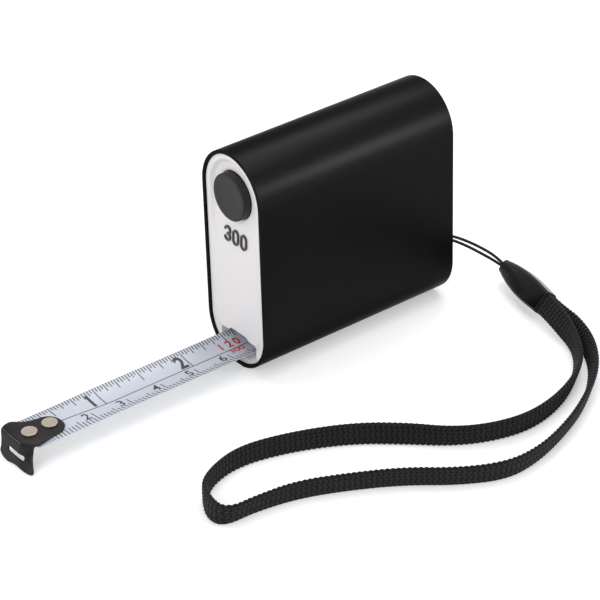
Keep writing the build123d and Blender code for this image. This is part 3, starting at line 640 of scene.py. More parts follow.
def left_of(path, closed):
    """Unit vectors that point to the left of a path, one for each of its points."""
    p = np.array(path)
    if closed:
        tangent = np.roll(p, -1, axis=0) - np.roll(p, 1, axis=0)
    else:
        tangent = np.gradient(p, axis=0)
    tangent /= np.maximum(np.linalg.norm(tangent, axis=1), 1e-9)[:, None]
    return np.stack((-tangent[:, 1], tangent[:, 0]), axis=1)


def offset_outline(path, half, closed=False):
    """Closed outline at an even distance from a path; two outlines where the path is closed."""
    p = np.array(path)
    normal = left_of(path, closed)
    left, right = p + normal * half, p - normal * half
    if closed:
        return [left.tolist(), right.tolist()]
    caps = []
    for end, towards in ((p[-1], normal[-1]), (p[0], -normal[0])):
        start = math.atan2(towards[1], towards[0])
        caps.append([(end[0] + half * math.cos(start - a), end[1] + half * math.sin(start - a))
                     for a in np.linspace(0, math.pi, 9)[1:-1]])
    return [left.tolist() + caps[0] + right[::-1].tolist() + caps[1]]


def shrunk(loop, inset):
    """Closed loop moved inwards by an even distance; a negative one moves it outwards."""
    p = np.array(loop)
    area = 0.5 * np.sum(p[:, 0] * np.roll(p[:, 1], -1) - np.roll(p[:, 0], -1) * p[:, 1])
    return (p + left_of(loop, True) * inset * (1 if area > 0 else -1)).tolist()


def flat_faces(loops, extra, keep):
    """Triangles between closed flat loops and extra points, where keep(u, v) is true."""
    flat, edges = [], []
    for loop in loops:
        start = len(flat)
        flat += [Vector(p) for p in loop]
        edges += [(start + i, start + (i + 1) % len(loop)) for i in range(len(loop))]
    flat += [Vector(p) for p in extra]
    places, _, triangles, _, _, _ = delaunay_2d_cdt(flat, edges, [], 0, 1e-5)
    kept = []
    for face in triangles:
        middle = sum((places[i] for i in face), Vector((0, 0))) / len(face)
        if keep(middle.x, middle.y):
            kept.append(tuple(face))
    return [(p.x, p.y) for p in places], kept


def wall(first, second):
    """Band of faces between two loops of equal length."""
    return skin([first, second], capped=False)


def at(x, loop):
    """A flat (y, z) loop set up at x."""
    return [(x, y, z) for y, z in loop]


def turned(profile, centre, axis, steps=72):
    """Skin of (along, radius) pairs turned about an axis through centre: 0 for X, 2 for Z."""
    loops = []
    for along, radius in profile:
        loop = []
        for a in whole_turn(steps):
            point = list(centre)
            point[axis] = along
            point[(axis + 1) % 3] += radius * math.cos(a)
            point[(axis + 2) % 3] += radius * math.sin(a)
            loop.append(tuple(point))
        loops.append(loop)
    return skin(loops, capped=False)


def plate(flat, faces, face_depth, back_depth, place):
    """Closed piece over flat triangles: a face, a back and straight sides between them."""
    count = len(flat)
    points = [place(a, b, face_depth(a, b)) for a, b in flat]
    points += [place(a, b, back_depth(a, b)) for a, b in flat]
    uses = {}
    for face in faces:
        for i, j in zip(face, face[1:] + face[:1]):
            uses.setdefault(frozenset((i, j)), []).append((i, j))
    sides = [(j, i, i + count, j + count)
             for found in uses.values() if len(found) == 1 for i, j in found]
    backs = [tuple(i + count for i in reversed(face)) for face in faces]
    return points, list(faces) + backs + sides


# ================================================================ sleeve
sleeve_low, sleeve_high = box_mm("sleeve")
sleeve_radius = (sleeve_high[1] - sleeve_low[1]) / 2
sleeve_wall = 0.9
foot_half = 2.0  # half the width of the flat that the sleeve stands on
high_centre = sleeve_high[2] - sleeve_radius
low_centre = math.sqrt(sleeve_radius**2 - foot_half**2)


def sleeve_loop(inset, x):
    """The sleeve's outline at x, drawn in by inset and flat underneath."""
    outline = stadium(sleeve_radius - inset, low_centre, high_centre, 96)
    return [(x, y, max(z, inset)) for y, z in outline]


def make_sleeve():
    outer_round, inner_round = 0.32, 0.14
    front, back = sleeve_low[0], sleeve_high[0]
    rim = rounding(6, outer_round)
    rim += [(sleeve_wall - inset, drop) for inset, drop in reversed(rounding(4, inner_round))]
    front_rim = [sleeve_loop(inset, front + drop) for inset, drop in rim]
    back_rim = [sleeve_loop(inset, back - drop) for inset, drop in reversed(rim)]
    points, faces = skin(front_rim + back_rim, closed=True)
    return mesh_piece("sleeve_shell", points, faces, black_anodised)


use(make_sleeve(), "body", ["sleeve"])


# ================================================================ end caps
cap_low, cap_high = box_mm("front_cap")
cap_face = cap_low[0]
cap_back = cap_face + 2.5
cap_radius = (cap_high[1] - cap_low[1]) / 2
cap_rim_round = 0.3

button_low, button_high = box_mm("button")
button_z = (button_low[2] + button_high[2]) / 2
button_radius = 6.05
button_hole = button_radius + 0.1
hole_round = 0.35

cap_screw_y = 6.9
cap_screw_z = sleeve_high[2] - 11.5

dish_half = 8.7
dish_top = sleeve_high[2] - 2.6
dish_bottom = dish_top - 26.0
dish_ends = dish_bottom + dish_half, dish_top - dish_half
dish_slope_top = sleeve_high[2] - 17.4
dish_deep, dish_shallow = 1.0, 0.3
dish_outer_edge, dish_inner_edge = 0.45, -0.75

mouth_half = 6.9
mouth_top = 7.8
mouth_face_sill = 3.0
mouth_back_sill = 4.3
mouth_arch = (3.4, 0.85)
mouth_round = 0.2
# The sides of a round hole's outline lie this little inside its radius.
chord_share = 0.9995


def inside_rim(y, z):
    """How far a point lies inside the outline of the caps."""
    return -stadium_distance(y, z, cap_radius, low_centre, high_centre)


def rim_loops():
    """Outlines of the caps across their rounded rim, the outermost first."""
    return [stadium(cap_radius - inset, low_centre, high_centre)
            for inset, _ in rounding(5, cap_rim_round)]


def dish_distance(y, z):
    """Distance from the outline of the dish round the button, negative inside."""
    return stadium_distance(y, z, dish_half, *dish_ends)


def dish_depth(z):
    """Depth of the floor of the dish: it runs out towards the bottom."""
    soft = 0.12  # the bend between slope and level, as a share of the slope
    share = (z - dish_bottom) / (dish_slope_top - dish_bottom)
    if share > 1 + soft:
        return dish_deep
    if share > 1 - soft:
        share = 1 - (1 + soft - share) ** 2 / (4 * soft)
    return dish_shallow + (dish_deep - dish_shallow) * max(share, 0.0)


def mouth_outline(sill, grow=0.0):
    """Mouth in (y, z): square sides, a low arch in the middle of the top, round corners."""
    corner, shoulder, ease = 0.7, 0.9, 1.4
    rim_gap, sill_gap, side_gap = 0.35, 0.1, 0.05
    arch_half, arch_rise = mouth_arch
    half = mouth_half + grow
    top = mouth_top + grow
    low = sill - grow
    bend = np.linspace(0, math.pi / 2, 7)
    points = [(half, low + corner), (half, top - corner)]
    points += [(half - corner + corner * math.cos(a), top - corner + corner * math.sin(a))
               for a in bend[1:]]
    for share in np.linspace(0, 1, 25)[1:-1]:
        y = (half - corner) * (1 - 2 * share)
        ridge = smooth_share((arch_half + shoulder - abs(y)) / ease)
        points.append((y, top + arch_rise * ridge))
    points += [(-half + corner - corner * math.sin(a), top - corner + corner * math.cos(a))
               for a in bend]
    points += [(-half, low + corner)]
    # The sill ends short of the cap's rounded rim.
    rim_half = math.sqrt(max((cap_radius - rim_gap) ** 2 - (low_centre - low) ** 2, 0))
    low_half = min(rim_half - sill_gap, half - side_gap)
    return points + [(y, low) for y in np.linspace(-low_half, low_half, 25)]


def make_front_cap():
    mouth_face = mouth_outline(mouth_face_sill)
    mouth_back = mouth_outline(mouth_back_sill)
    mouth_distance = path_distance(mouth_face, True)
    dish_spread = dish_outer_edge - dish_inner_edge
    grid_step, grid_gap = 0.8, 0.3
    tab_y, tab_half, tab_thick, tab_length, tab_root = 8.7, 9.0, 1.0, 5.0, 0.1

    def from_button(y, z):
        return math.hypot(y, z - button_z)

    def at_face(loop):
        """A flat (y, z) loop laid on the cap's face, with its rounded edges and its dish."""
        laid = []
        for y, z in loop:
            depth = edge_drop(inside_rim(y, z), cap_rim_round)
            depth += dish_depth(z) * smooth_share(
                (dish_outer_edge - dish_distance(y, z)) / dish_spread)
            depth += edge_drop(from_button(y, z) - button_hole, hole_round)
            if z < mouth_top + 2:
                depth += edge_drop(mouth_distance(y, z), mouth_round)
            laid.append((cap_face + depth, y, z))
        return laid

    def outside_of(mouth):
        """Test for a point on the cap that is outside the mouth and the button's hole."""
        return lambda y, z: (inside_rim(y, z) > 0
                             and from_button(y, z) > button_hole * chord_share
                             and not inside(y, z, mouth))

    rims = rim_loops()
    dishes = [stadium(dish_half + grow, *dish_ends)
              for grow in np.linspace(dish_outer_edge, dish_inner_edge, 9)]
    holes = [circle(button_hole + inset, 0, button_z) for inset, _ in rounding(5, hole_round)]
    mouths = [mouth_face, mouth_outline(mouth_face_sill, mouth_round)]
    grid = [(y, z) for y in np.arange(-7.6, 7.7, grid_step)
            for z in np.arange(dish_bottom + 0.9, dish_top - 0.9, grid_step)
            if dish_distance(y, z) < dish_inner_edge - grid_gap
            and from_button(y, z) > button_hole + hole_round + grid_gap]
    flat, faces = flat_faces(rims + dishes + holes + mouths, grid, outside_of(mouth_face))
    back_flat, back_faces = flat_faces([rims[0], holes[0], mouth_back], [],
                                       outside_of(mouth_back))
    parts = [(at_face(flat), faces), (at(cap_back, back_flat), back_faces)]
    for face_loop, back_loop in ((rims[0], rims[0]), (holes[0], holes[0]),
                                 (mouth_face, mouth_back)):
        parts.append(wall(at_face(face_loop), at(cap_back, back_loop)))
    # Two tabs hold the cap in the sleeve.
    middle = (low_centre + high_centre) / 2
    for side in (-1, 1):
        loop = [(side * tab_y + a * tab_thick / 2, middle + b * tab_half)
                for a, b in ((-1, -1), (1, -1), (1, 1), (-1, 1))]
        parts.append(skin([at(cap_back - tab_root, loop), at(cap_back + tab_length, loop)]))
    return mesh_piece("front_cap_moulding", *joined(*parts), white_plastic, 40.0)


use(make_front_cap(), "body", ["front_cap"])


def make_rear_cap():
    """Plate with a square pocket for the strap's pin and a round seat for each screw."""
    plate_thickness = 2.0
    pocket_z, pocket_half_y, pocket_half_z, pocket_corner = 11.8, 3.0, 3.5, 0.4
    pocket_depth, pocket_wall, pocket_round = 5.0, 1.0, 0.3
    seat_radius, seat_depth, seat_round = 1.7, 1.0, 0.25
    seat_steps, seat_chord_share = 48, 0.998
    face = box_mm("rear_cap")[1][0]
    back = face - plate_thickness
    seats = [(-cap_screw_y, cap_screw_z), (cap_screw_y, cap_screw_z)]

    def pocket(grow):
        loop = rounded_rectangle(2 * (pocket_half_y + grow), 2 * (pocket_half_z + grow),
                                 pocket_corner, 6)
        return [(y, pocket_z + z) for y, z in loop]

    def at_face(loop):
        laid = []
        for y, z in loop:
            from_pocket = max(abs(y) - pocket_half_y, abs(z - pocket_z) - pocket_half_z)
            depth = edge_drop(inside_rim(y, z), cap_rim_round)
            depth += edge_drop(from_pocket, pocket_round)
            for seat_y, seat_z in seats:
                depth += edge_drop(math.hypot(y - seat_y, z - seat_z) - seat_radius,
                                   seat_round)
            laid.append((face - depth, y, z))
        return laid

    def keep_face(y, z):
        return (inside_rim(y, z) > 0 and not inside(y, z, opening)
                and all(math.hypot(y - a, z - b) > seat_radius * seat_chord_share
                        for a, b in seats))

    def keep_back(y, z):
        return inside_rim(y, z) > 0 and not inside(y, z, outer)

    rims = rim_loops()
    opening, outer = pocket(0), pocket(pocket_wall)
    pocket_edges = [pocket(inset) for inset, _ in rounding(4, pocket_round)]
    seat_edges = [circle(seat_radius + inset, y, z, seat_steps)
                  for y, z in seats for inset, _ in rounding(4, seat_round)]
    flat, faces = flat_faces(rims + pocket_edges + seat_edges, [], keep_face)
    back_flat, back_faces = flat_faces([rims[0], outer], [], keep_back)
    parts = [(at_face(flat), faces), (at(back, back_flat), back_faces),
             wall(at_face(rims[0]), at(back, rims[0]))]
    box_end = face - pocket_depth - pocket_wall
    recesses = [(at_face(opening), at(face - pocket_depth, opening)),
                (at(back, outer), at(box_end, outer))]
    for y, z in seats:
        loop = circle(seat_radius, y, z, seat_steps)
        recesses.append((at_face(loop), at(face - seat_depth, loop)))
    for edge, floor in recesses:
        parts += [wall(edge, floor), (floor, [tuple(range(len(floor)))])]
    return mesh_piece("rear_cap_moulding", *joined(*parts), white_plastic, 40.0)


use(make_rear_cap(), "body", ["rear_cap"])


# ================================================================ number on the front cap
def arc(centre, radius, start, end, steps):
    """Points on an arc of an ellipse, its angles in degrees."""
    return [(centre[0] + radius[0] * math.cos(a), centre[1] + radius[1] * math.sin(a))
            for a in np.radians(np.linspace(start, end, steps))]


def make_number():
    """The number 300 as one raised plate, that stands out of the dish's floor."""
    stroke_half, round_off = 0.31, 0.14
    half_width, rise, pitch = 0.95, 0.88, 3.15
    proud, sunk = 0.42, 1.3
    straight = rise * 2 - half_width
    low, high = box_mm("cap_number")
    centre_z = (low[2] + high[2]) / 2
    upper = arc((-pitch, rise), (half_width, rise), 168, -90, 30)
    lower = arc((-pitch, -rise), (half_width, rise), 90, -168, 30)
    strokes = [(upper, False), (lower, False)]
    for column in (0, pitch):
        ends = [arc((column, side * straight), (half_width, half_width), start, start + 180, 24)
                for side, start in ((1, 0), (-1, 180))]
        strokes.append((ends[0] + ends[1], True))
    distances = [path_distance(path, closed) for path, closed in strokes]

    def distance(u, v):
        return min(d(u, v) for d in distances)

    loops = [outline for path, closed in strokes for inset, _ in rounding(4, round_off)
             for outline in offset_outline(path, stroke_half - inset, closed)]
    flat, faces = flat_faces(loops, [], lambda u, v: distance(u, v) < stroke_half)

    def face_depth(u, v):
        floor = cap_face + dish_depth(centre_z + v)
        return floor - proud + edge_drop(stroke_half - distance(u, v), round_off)

    points, faces = plate(flat, faces, face_depth, lambda u, v: cap_face + sunk,
                          lambda u, v, x: (x, -u, centre_z + v))
    return mesh_piece("number_300", points, faces, number_plastic, 40.0)


use(make_number(), "body", ["cap_number"])


# ================================================================ button
def make_button():
    """Turned button with a flange inside the cap and a stem behind it."""
    edge, stem_radius = 0.38, 2.5
    dish_sink, dish_margin, dish_steepness = 0.1, 0.25, 2.2
    face, back = button_low[0], button_high[0]
    flange_radius = (button_high[1] - button_low[1]) / 2
    flange_front, flange_back = cap_back + 0.1, cap_back + 1.1
    profile = [(back, 0.0), (back, stem_radius), (flange_back, stem_radius),
               (flange_back, flange_radius), (flange_front, flange_radius),
               (flange_front, button_radius)]
    profile += [(face + drop, button_radius - inset) for inset, drop in rounding(9, edge)]
    for share in np.linspace(0, 1, 9)[1:]:
        profile.append((face + dish_sink * smooth_share(share * dish_steepness),
                        (button_radius - edge - dish_margin) * (1 - share)))
    return mesh_piece("thumb_button", *turned(profile, (0, 0, button_z), 0, 128),
                      button_plastic, 50.0)


use(make_button(), "push_button", ["button"])


# ================================================================ repeated pieces
def new_tree(name, inputs):
    """Geometry Nodes tree with named inputs, and one output of geometry."""
    graph, given, made = new_group(name, inputs, [("Geometry", GEOMETRY)], "GeometryNodeTree")
    return graph, given, made[0]


def close_tree(graph, instances, material, result):
    """The end of a tree: real geometry with its material."""
    solid = graph.add("GeometryNodeRealizeInstances", {0: instances})
    painted = graph.add("GeometryNodeSetMaterial", {"Geometry": solid.outputs[0],
                                                    "Material": material})
    graph.tree.links.new(painted.outputs[0], result)
    return graph.tree


def row_tree():
    """Copies of one part at even steps along a line."""
    graph, given, result = new_tree(
        "row_of_parts", [("Part", OBJECT, None), ("Count", WHOLE, 2),
                         ("First", VECTOR, (0, 0, 0)), ("Step", VECTOR, (0, 0, 0)),
                         ("Finish", MATERIAL, None)])
    line = graph.add("GeometryNodeMeshLine", {"Count": given["Count"],
                                              "Start Location": given["First"],
                                              "Offset": given["Step"]}, mode="OFFSET")
    part = graph.add("GeometryNodeObjectInfo", {0: given["Part"]})
    copies = graph.add("GeometryNodeInstanceOnPoints",
                       {"Points": line.outputs[0], "Instance": part.outputs["Geometry"]})
    return close_tree(graph, copies.outputs[0], given["Finish"], result)


TICK_LEVELS = 5


def graduations_tree():
    """Row of printed lines; each level's lines are the ones whose number it divides."""
    inputs = [("Spacing", NUMBER, 0.001), ("Count", WHOLE, 60), ("Width", NUMBER, 0.00012),
              ("Thickness", NUMBER, 0.00002), ("Length", NUMBER, 0.002), ("Turn", NUMBER, 0.0)]
    for level in range(TICK_LEVELS):
        inputs += [(f"Every {level}", NUMBER, 1000.0), (f"Length {level}", NUMBER, 0.002)]
    graph, given, result = new_tree("graduations", inputs + [("Ink", MATERIAL, None)])
    step = graph.add("ShaderNodeCombineXYZ", {0: given["Spacing"]})
    line = graph.add("GeometryNodeMeshLine", {"Count": given["Count"],
                                              "Start Location": step.outputs[0],
                                              "Offset": step.outputs[0]}, mode="OFFSET")
    number = graph.math("ADD", graph.add("GeometryNodeInputIndex").outputs[0], 1.0)
    length = given["Length"]
    for level in range(TICK_LEVELS):
        rest = graph.math("MODULO", number, given[f"Every {level}"])
        chosen = graph.math("LESS_THAN", rest, 0.5)
        change = graph.math("SUBTRACT", given[f"Length {level}"], length)
        length = graph.math("MULTIPLY_ADD", chosen, change, length)
    mark = graph.add("GeometryNodeMeshCube", {"Size": (1, 1, 1), "Vertices X": 2,
                                              "Vertices Y": 7, "Vertices Z": 2})
    rooted = graph.add("GeometryNodeTransform", {"Geometry": mark.outputs[0],
                                                 "Translation": (0, 0.5, 0)})
    scale = graph.add("ShaderNodeCombineXYZ", {0: given["Width"], 1: length,
                                               2: given["Thickness"]})
    turn = graph.add("ShaderNodeCombineXYZ", {2: given["Turn"]})
    marks = graph.add("GeometryNodeInstanceOnPoints",
                      {"Points": line.outputs[0], "Instance": rooted.outputs[0],
                       "Rotation": turn.outputs[0], "Scale": scale.outputs[0]})
    return close_tree(graph, marks.outputs[0], given["Ink"], result)


row_of_parts = row_tree()
graduations = graduations_tree()


def grown(name, tree, values):
    """Mesh object made by a Geometry Nodes tree, whose inputs are set by name."""
    obj = link(bpy.data.objects.new(name, bpy.data.meshes.new(name)))
    modifier = obj.modifiers.new("nodes", "NODES")
    modifier.node_group = tree
    for item in tree.interface.items_tree:
        if item.in_out == "INPUT" and item.name in values:
            modifier[item.identifier] = values[item.name]
    mesh = evaluated_mesh(obj)
    obj.modifiers.clear()
    obj.data = mesh
    mesh.name = name
    return obj


def row(name, part, count, first, step, material):
    """Even row of copies of a part, which isn't kept; places in millimetres."""
    obj = grown(name, row_of_parts, {"Part": part, "Count": count,
                                     "First": [c * MM for c in first],
                                     "Step": [c * MM for c in step], "Finish": material})
    bpy.data.objects.remove(part)
    shade(obj.data, 35.0)
    return obj


def make_cap_screws():
    """Button-head screws with a hexagonal socket, along X, their heads towards +X."""
    head_radius, head_height, head_round, shank_radius = 1.6, 0.9, 0.35, 0.9
    drive, drive_depth, drive_bevel = 0.72, 0.5, 0.05
    sixth = math.pi / 3
    low, high = box_mm("cap_screws")

    def ring(x, radius):
        return at(x, circle(radius, 0, 0, 48))

    def hexagon(x, radius):
        loop = []
        for a in whole_turn(48):
            reach = radius * math.cos(sixth / 2) / math.cos(a % sixth - sixth / 2)
            loop.append((x, reach * math.cos(a), reach * math.sin(a)))
        return loop

    loops = [ring(low[0] - high[0], shank_radius), ring(-head_height, shank_radius),
             ring(-head_height, head_radius)]
    loops += [ring(-drop, head_radius - inset) for inset, drop in rounding(6, head_round)]
    loops += [hexagon(0, drive + drive_bevel), hexagon(-drive_bevel, drive),
              hexagon(-drive_depth, drive)]
    screw = mesh_piece("cap_screw", *skin(loops), steel, 35.0)
    return row("cap_screw_pair", screw, 2, (high[0], -cap_screw_y, cap_screw_z),
               (0, 2 * cap_screw_y, 0), steel)


use(make_cap_screws(), "body", ["cap_screws"])


# ================================================================ blade
strip_low, strip_high = box_mm("tape_strip")
blade_end = strip_low[0]
blade_half = (strip_high[1] - strip_low[1]) / 2
blade_inner_end = 3.1
blade_thickness = 0.15
ink_thickness, ink_width = 0.016, 0.26
tip_length = 7.0
tip_end = blade_end + tip_length
zero_x = blade_end - 0.3
trough_z = strip_low[2] + blade_thickness / 2
# Along the blade: place, height of its middle and rise of its edges.
blade_stations = np.array([
    (blade_end, trough_z + 0.88, 0.02), (blade_end + 12.0, trough_z + 0.88, 0.02),
    (blade_end + 27.0, trough_z, 1.143), (-11.9, trough_z, 1.143),
    (blade_inner_end, 6.05, 0.02)])


def blade_form(x):
    """Height of the blade's middle and rise of its edges at x, easing between the stations."""
    x = min(max(x, blade_stations[0][0]), blade_stations[-1][0])
    row_number = int(np.searchsorted(blade_stations[:, 0], x, side="right")) - 1
    row_number = min(row_number, len(blade_stations) - 2)
    first, second = blade_stations[row_number], blade_stations[row_number + 1]
    share = (x - first[0]) / (second[0] - first[0])
    share = 0.5 * share + 0.5 * smooth_share(share)
    return first[1:] + (second[1:] - first[1:]) * share


def blade_z(x, y, side=1):
    """Height of the blade's upper face, or of its lower one where side is -1."""
    middle, rise = blade_form(x)
    return middle + rise * (y / blade_half) ** 2 + side * blade_thickness / 2


def clipped(x, y):
    """The near corner of the blade's end is drawn back under the hook, and print with it."""
    depth, start, span = 2.2, 1.6, 4.4
    near = max(1 - (x - blade_end) / tip_length, 0.0)
    return x + depth * smooth_share((-y - start) / span) * near


def make_blade(name, start, stop):
    """Length of the blade from start to stop; its edges are blunt and rounded a little."""
    station_step, edge_width, edge_half = 1.5, 0.05, 0.03
    reach = blade_half - edge_width
    across = np.linspace(-1, 1, 33)
    loops = []
    for x in np.concatenate((np.arange(start, stop, station_step), [stop])):
        edge_z = blade_z(x, blade_half, 0)
        loop = []
        for side, ways in ((1, across), (-1, across[::-1])):
            loop += [(x, y * reach, blade_z(x, y * reach, side)) for y in ways]
            loop += [(x, side * blade_half, edge_z + side * edge_half),
                     (x, side * blade_half, edge_z - side * edge_half)]
        loops.append([(clipped(a, b), b, c) for a, b, c in loop])
    return mesh_piece(name, *skin(loops), blade_paint, 50.0)


def lay_on_blade(obj):
    """Bend flat print whose middle is at z = 0 onto the blade's upper face."""
    for vertex in obj.data.vertices:
        x, y, _ = vertex.co / MM
        vertex.co.x = clipped(x, y) * MM
        vertex.co.z += (blade_z(x, y) + ink_thickness / 2) * MM
    return obj


def shortening(obj):
    """Gives the piece a mesh of its own; the blade, all but its tip, shortens towards the tip as it
    is wound in.
    """
    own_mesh(obj)
    return obj


def printed(obj):
    """Flat print laid on the blade, that rides on it and has a mesh of its own."""
    obj.data.shade_flat()
    return shortening(use(lay_on_blade(obj), "blade"))


def ticks(name, spacing, count, length, levels, edge, turn):
    """Lines from an edge of the blade inwards; levels are (every, length) pairs."""
    values = {"Spacing": spacing * MM, "Count": count, "Width": ink_width * MM,
              "Thickness": ink_thickness * MM, "Length": length * MM, "Turn": turn,
              "Ink": print_black}
    for level, (every, reach) in enumerate(levels):
        values[f"Every {level}"] = float(every)
        values[f"Length {level}"] = reach * MM
    obj = grown(name, graduations, values)
    obj.data.transform(Matrix.Translation((zero_x * MM, edge * MM, 0)))
    return printed(obj)


def figure_mesh(text, size, stretch, weight, left, foot):
    """Mesh of thin flat figures, with the left of the text and its foot where they're given."""
    letters = bpy.data.curves.new("figure", "FONT")
    letters.body = text
    letters.size = size * MM
    letters.offset = weight * MM
    letters.extrude = ink_thickness / 2 * MM
    letters.resolution_u = 6
    obj = link(bpy.data.objects.new("figure", letters))
    mesh = evaluated_mesh(obj)
    bpy.data.objects.remove(obj)
    first_x = min(v.co.x for v in mesh.vertices)
    first_y = min(v.co.y for v in mesh.vertices)
    for v in mesh.vertices:
        v.co.x = (v.co.x - first_x) * stretch + left * MM
        v.co.y += foot * MM - first_y
    return mesh


def figures(name, texts, size, stretch, weight, material):
    """Printed figures: (text, x, y) with x at the left of the text and y at its foot."""
    cut_reach, cut_step = 6.0, 0.5
    work = bmesh.new()
    for text, x, y in texts:
        mesh = figure_mesh(text, size, stretch, weight, x, y)
        work.from_mesh(mesh)
        bpy.data.meshes.remove(mesh)
    # Cuts along the blade let the figures follow the curve across it.
    for place in np.arange(-cut_reach, cut_reach + 0.1, cut_step):
        bmesh.ops.bisect_plane(work, geom=work.verts[:] + work.edges[:] + work.faces[:],
                               plane_co=(0, place * MM, 0), plane_no=(0, 1, 0))
    bmesh.ops.triangulate(work, faces=work.faces)
    bmesh.ops.remove_doubles(work, verts=work.verts, dist=1e-8)
    bmesh.ops.recalc_face_normals(work, faces=work.faces)
    mesh = bpy.data.meshes.new(name)
    work.to_mesh(mesh)
    work.free()
    mesh.materials.append(material)
    return printed(link(bpy.data.objects.new(name, mesh)))


use(make_blade("blade_tip", blade_end, tip_end), "blade")
shortening(use(make_blade("blade", tip_end, blade_inner_end), "blade", ["tape_strip"]))

inch = 25.4
middle_y = -0.15  # place of the line between the two scales
print_edge = blade_half - 0.1
ticks("inch_graduations", inch / 32, 100, 1.3,
      [(2, 1.7), (4, 2.3), (8, 2.9), (16, 3.8), (32, print_edge - middle_y)],
      print_edge, math.pi)
ticks("millimetre_graduations", 1.0, 80, 2.4, [(5, 3.3), (10, 4.6)], -print_edge, 0.0)


def make_middle_line():
    """Fine line between the two scales, down the length of the blade."""
    line_half, top, underside, line_end, step = 0.13, 0.018, 0.002, -14.0, 1.5
    corners = ((-line_half, top), (line_half, top), (line_half, underside),
               (-line_half, underside))
    loops = [[(x, middle_y + y, blade_z(x, middle_y + y) + lift) for y, lift in corners]
             for x in np.arange(blade_end + 0.3, line_end, step)]
    return mesh_piece("middle_line", *skin(loops), print_black)


shortening(use(make_middle_line(), "blade"))
figures("inch_figures", [(str(n), zero_x + n * inch - 3.0, middle_y + 0.47)
                         for n in (1, 2, 3)], 6.2, 0.78, 0.2, print_black)
figures("centimetre_figures", [(str(n), zero_x + n * 10 - 2.75, -3.7)
                               for n in range(2, 8)], 4.0, 0.95, 0.06, print_black)
red_x = zero_x + 2.5 * inch - 3.3
figures("red_inch_figures", [(digit, red_x + shift, middle_y + 0.92)
                             for digit, shift in (("1", 0.3), ("2", 2.25), ("0", 4.5))],
        3.5, 0.92, 0.1, print_red)
figures("red_millimetre_figures", [("300", zero_x + 61.3, middle_y - 1.83)], 2.5, 1.15, 0.05,
        print_red)


# ================================================================ hook and rivets
hook_top = box_mm("hook")[1][2]
hook_thickness = 0.5
bend_x = blade_end - 0.8
fold_radius = 0.6
leg_lean = math.radians(15.0)
fold_angle = math.pi / 2 - leg_lean
fold_reach = fold_radius * math.tan(fold_angle / 2)
fold_half = fold_radius * fold_angle / 2
hook_middle = hook_top - hook_thickness / 2
corner_x = bend_x + hook_thickness / 2


def fold_point(along, lift):
    """Place in (x, z) on the folded hook: along is 0 in the middle of the fold."""
    fold_x = corner_x + fold_reach
    if along > fold_half:
        return fold_x + along - fold_half, hook_middle + lift
    turn = min((fold_half - along) / fold_radius, fold_angle)
    reach = fold_radius + lift
    x = fold_x - math.sin(turn) * reach
    z = hook_middle - fold_radius + math.cos(turn) * reach
    if along < -fold_half:
        down = -along - fold_half
        x -= math.sin(leg_lean) * down
        z -= math.cos(leg_lean) * down
    return x, z


def hook_point(along, y, lift):
    """The near corner of the fold is drawn back, and less so down the leg."""
    drawn_back, far_rise, near_rise = 1.6, 0.4, 0.25
    x, z = fold_point(along, lift)
    back = drawn_back * smooth_share((-y - 2.2) / 4.4)
    fade = 1 - 0.6 * smooth_share((fold_half - along) / 5.0)
    fade *= 1 - smooth_share((along - 0.6) / 4.4)
    # The flare's corners stand up a little, so that the fold is a shallow saddle.
    rise = (far_rise if y > 0 else near_rise) * smooth_share((abs(y) - 1.5) / 5.0)
    rise *= smooth_share((along + 1.5) / 2.5) * (1 - smooth_share((along - 1.2) / 5.5))
    return x + back * fade, y, z + rise


def smooth_line(points, steps):
    """Points along a smooth open curve through the given ones."""
    p = np.array(points)
    padded = np.vstack((2 * p[0] - p[1], p, 2 * p[-1] - p[-2]))
    out = []
    for i in range(len(p) - 1):
        a, b, c, d = padded[i:i + 4]
        for t in np.linspace(0, 1, steps, endpoint=False):
            out.append(tuple(0.5 * ((2 * b) + (c - a) * t + (2 * a - 5 * b + 4 * c - d) * t**2
                                    + (3 * b - a - 3 * c + d) * t**3)))
    out.append(tuple(p[-1]))
    return out


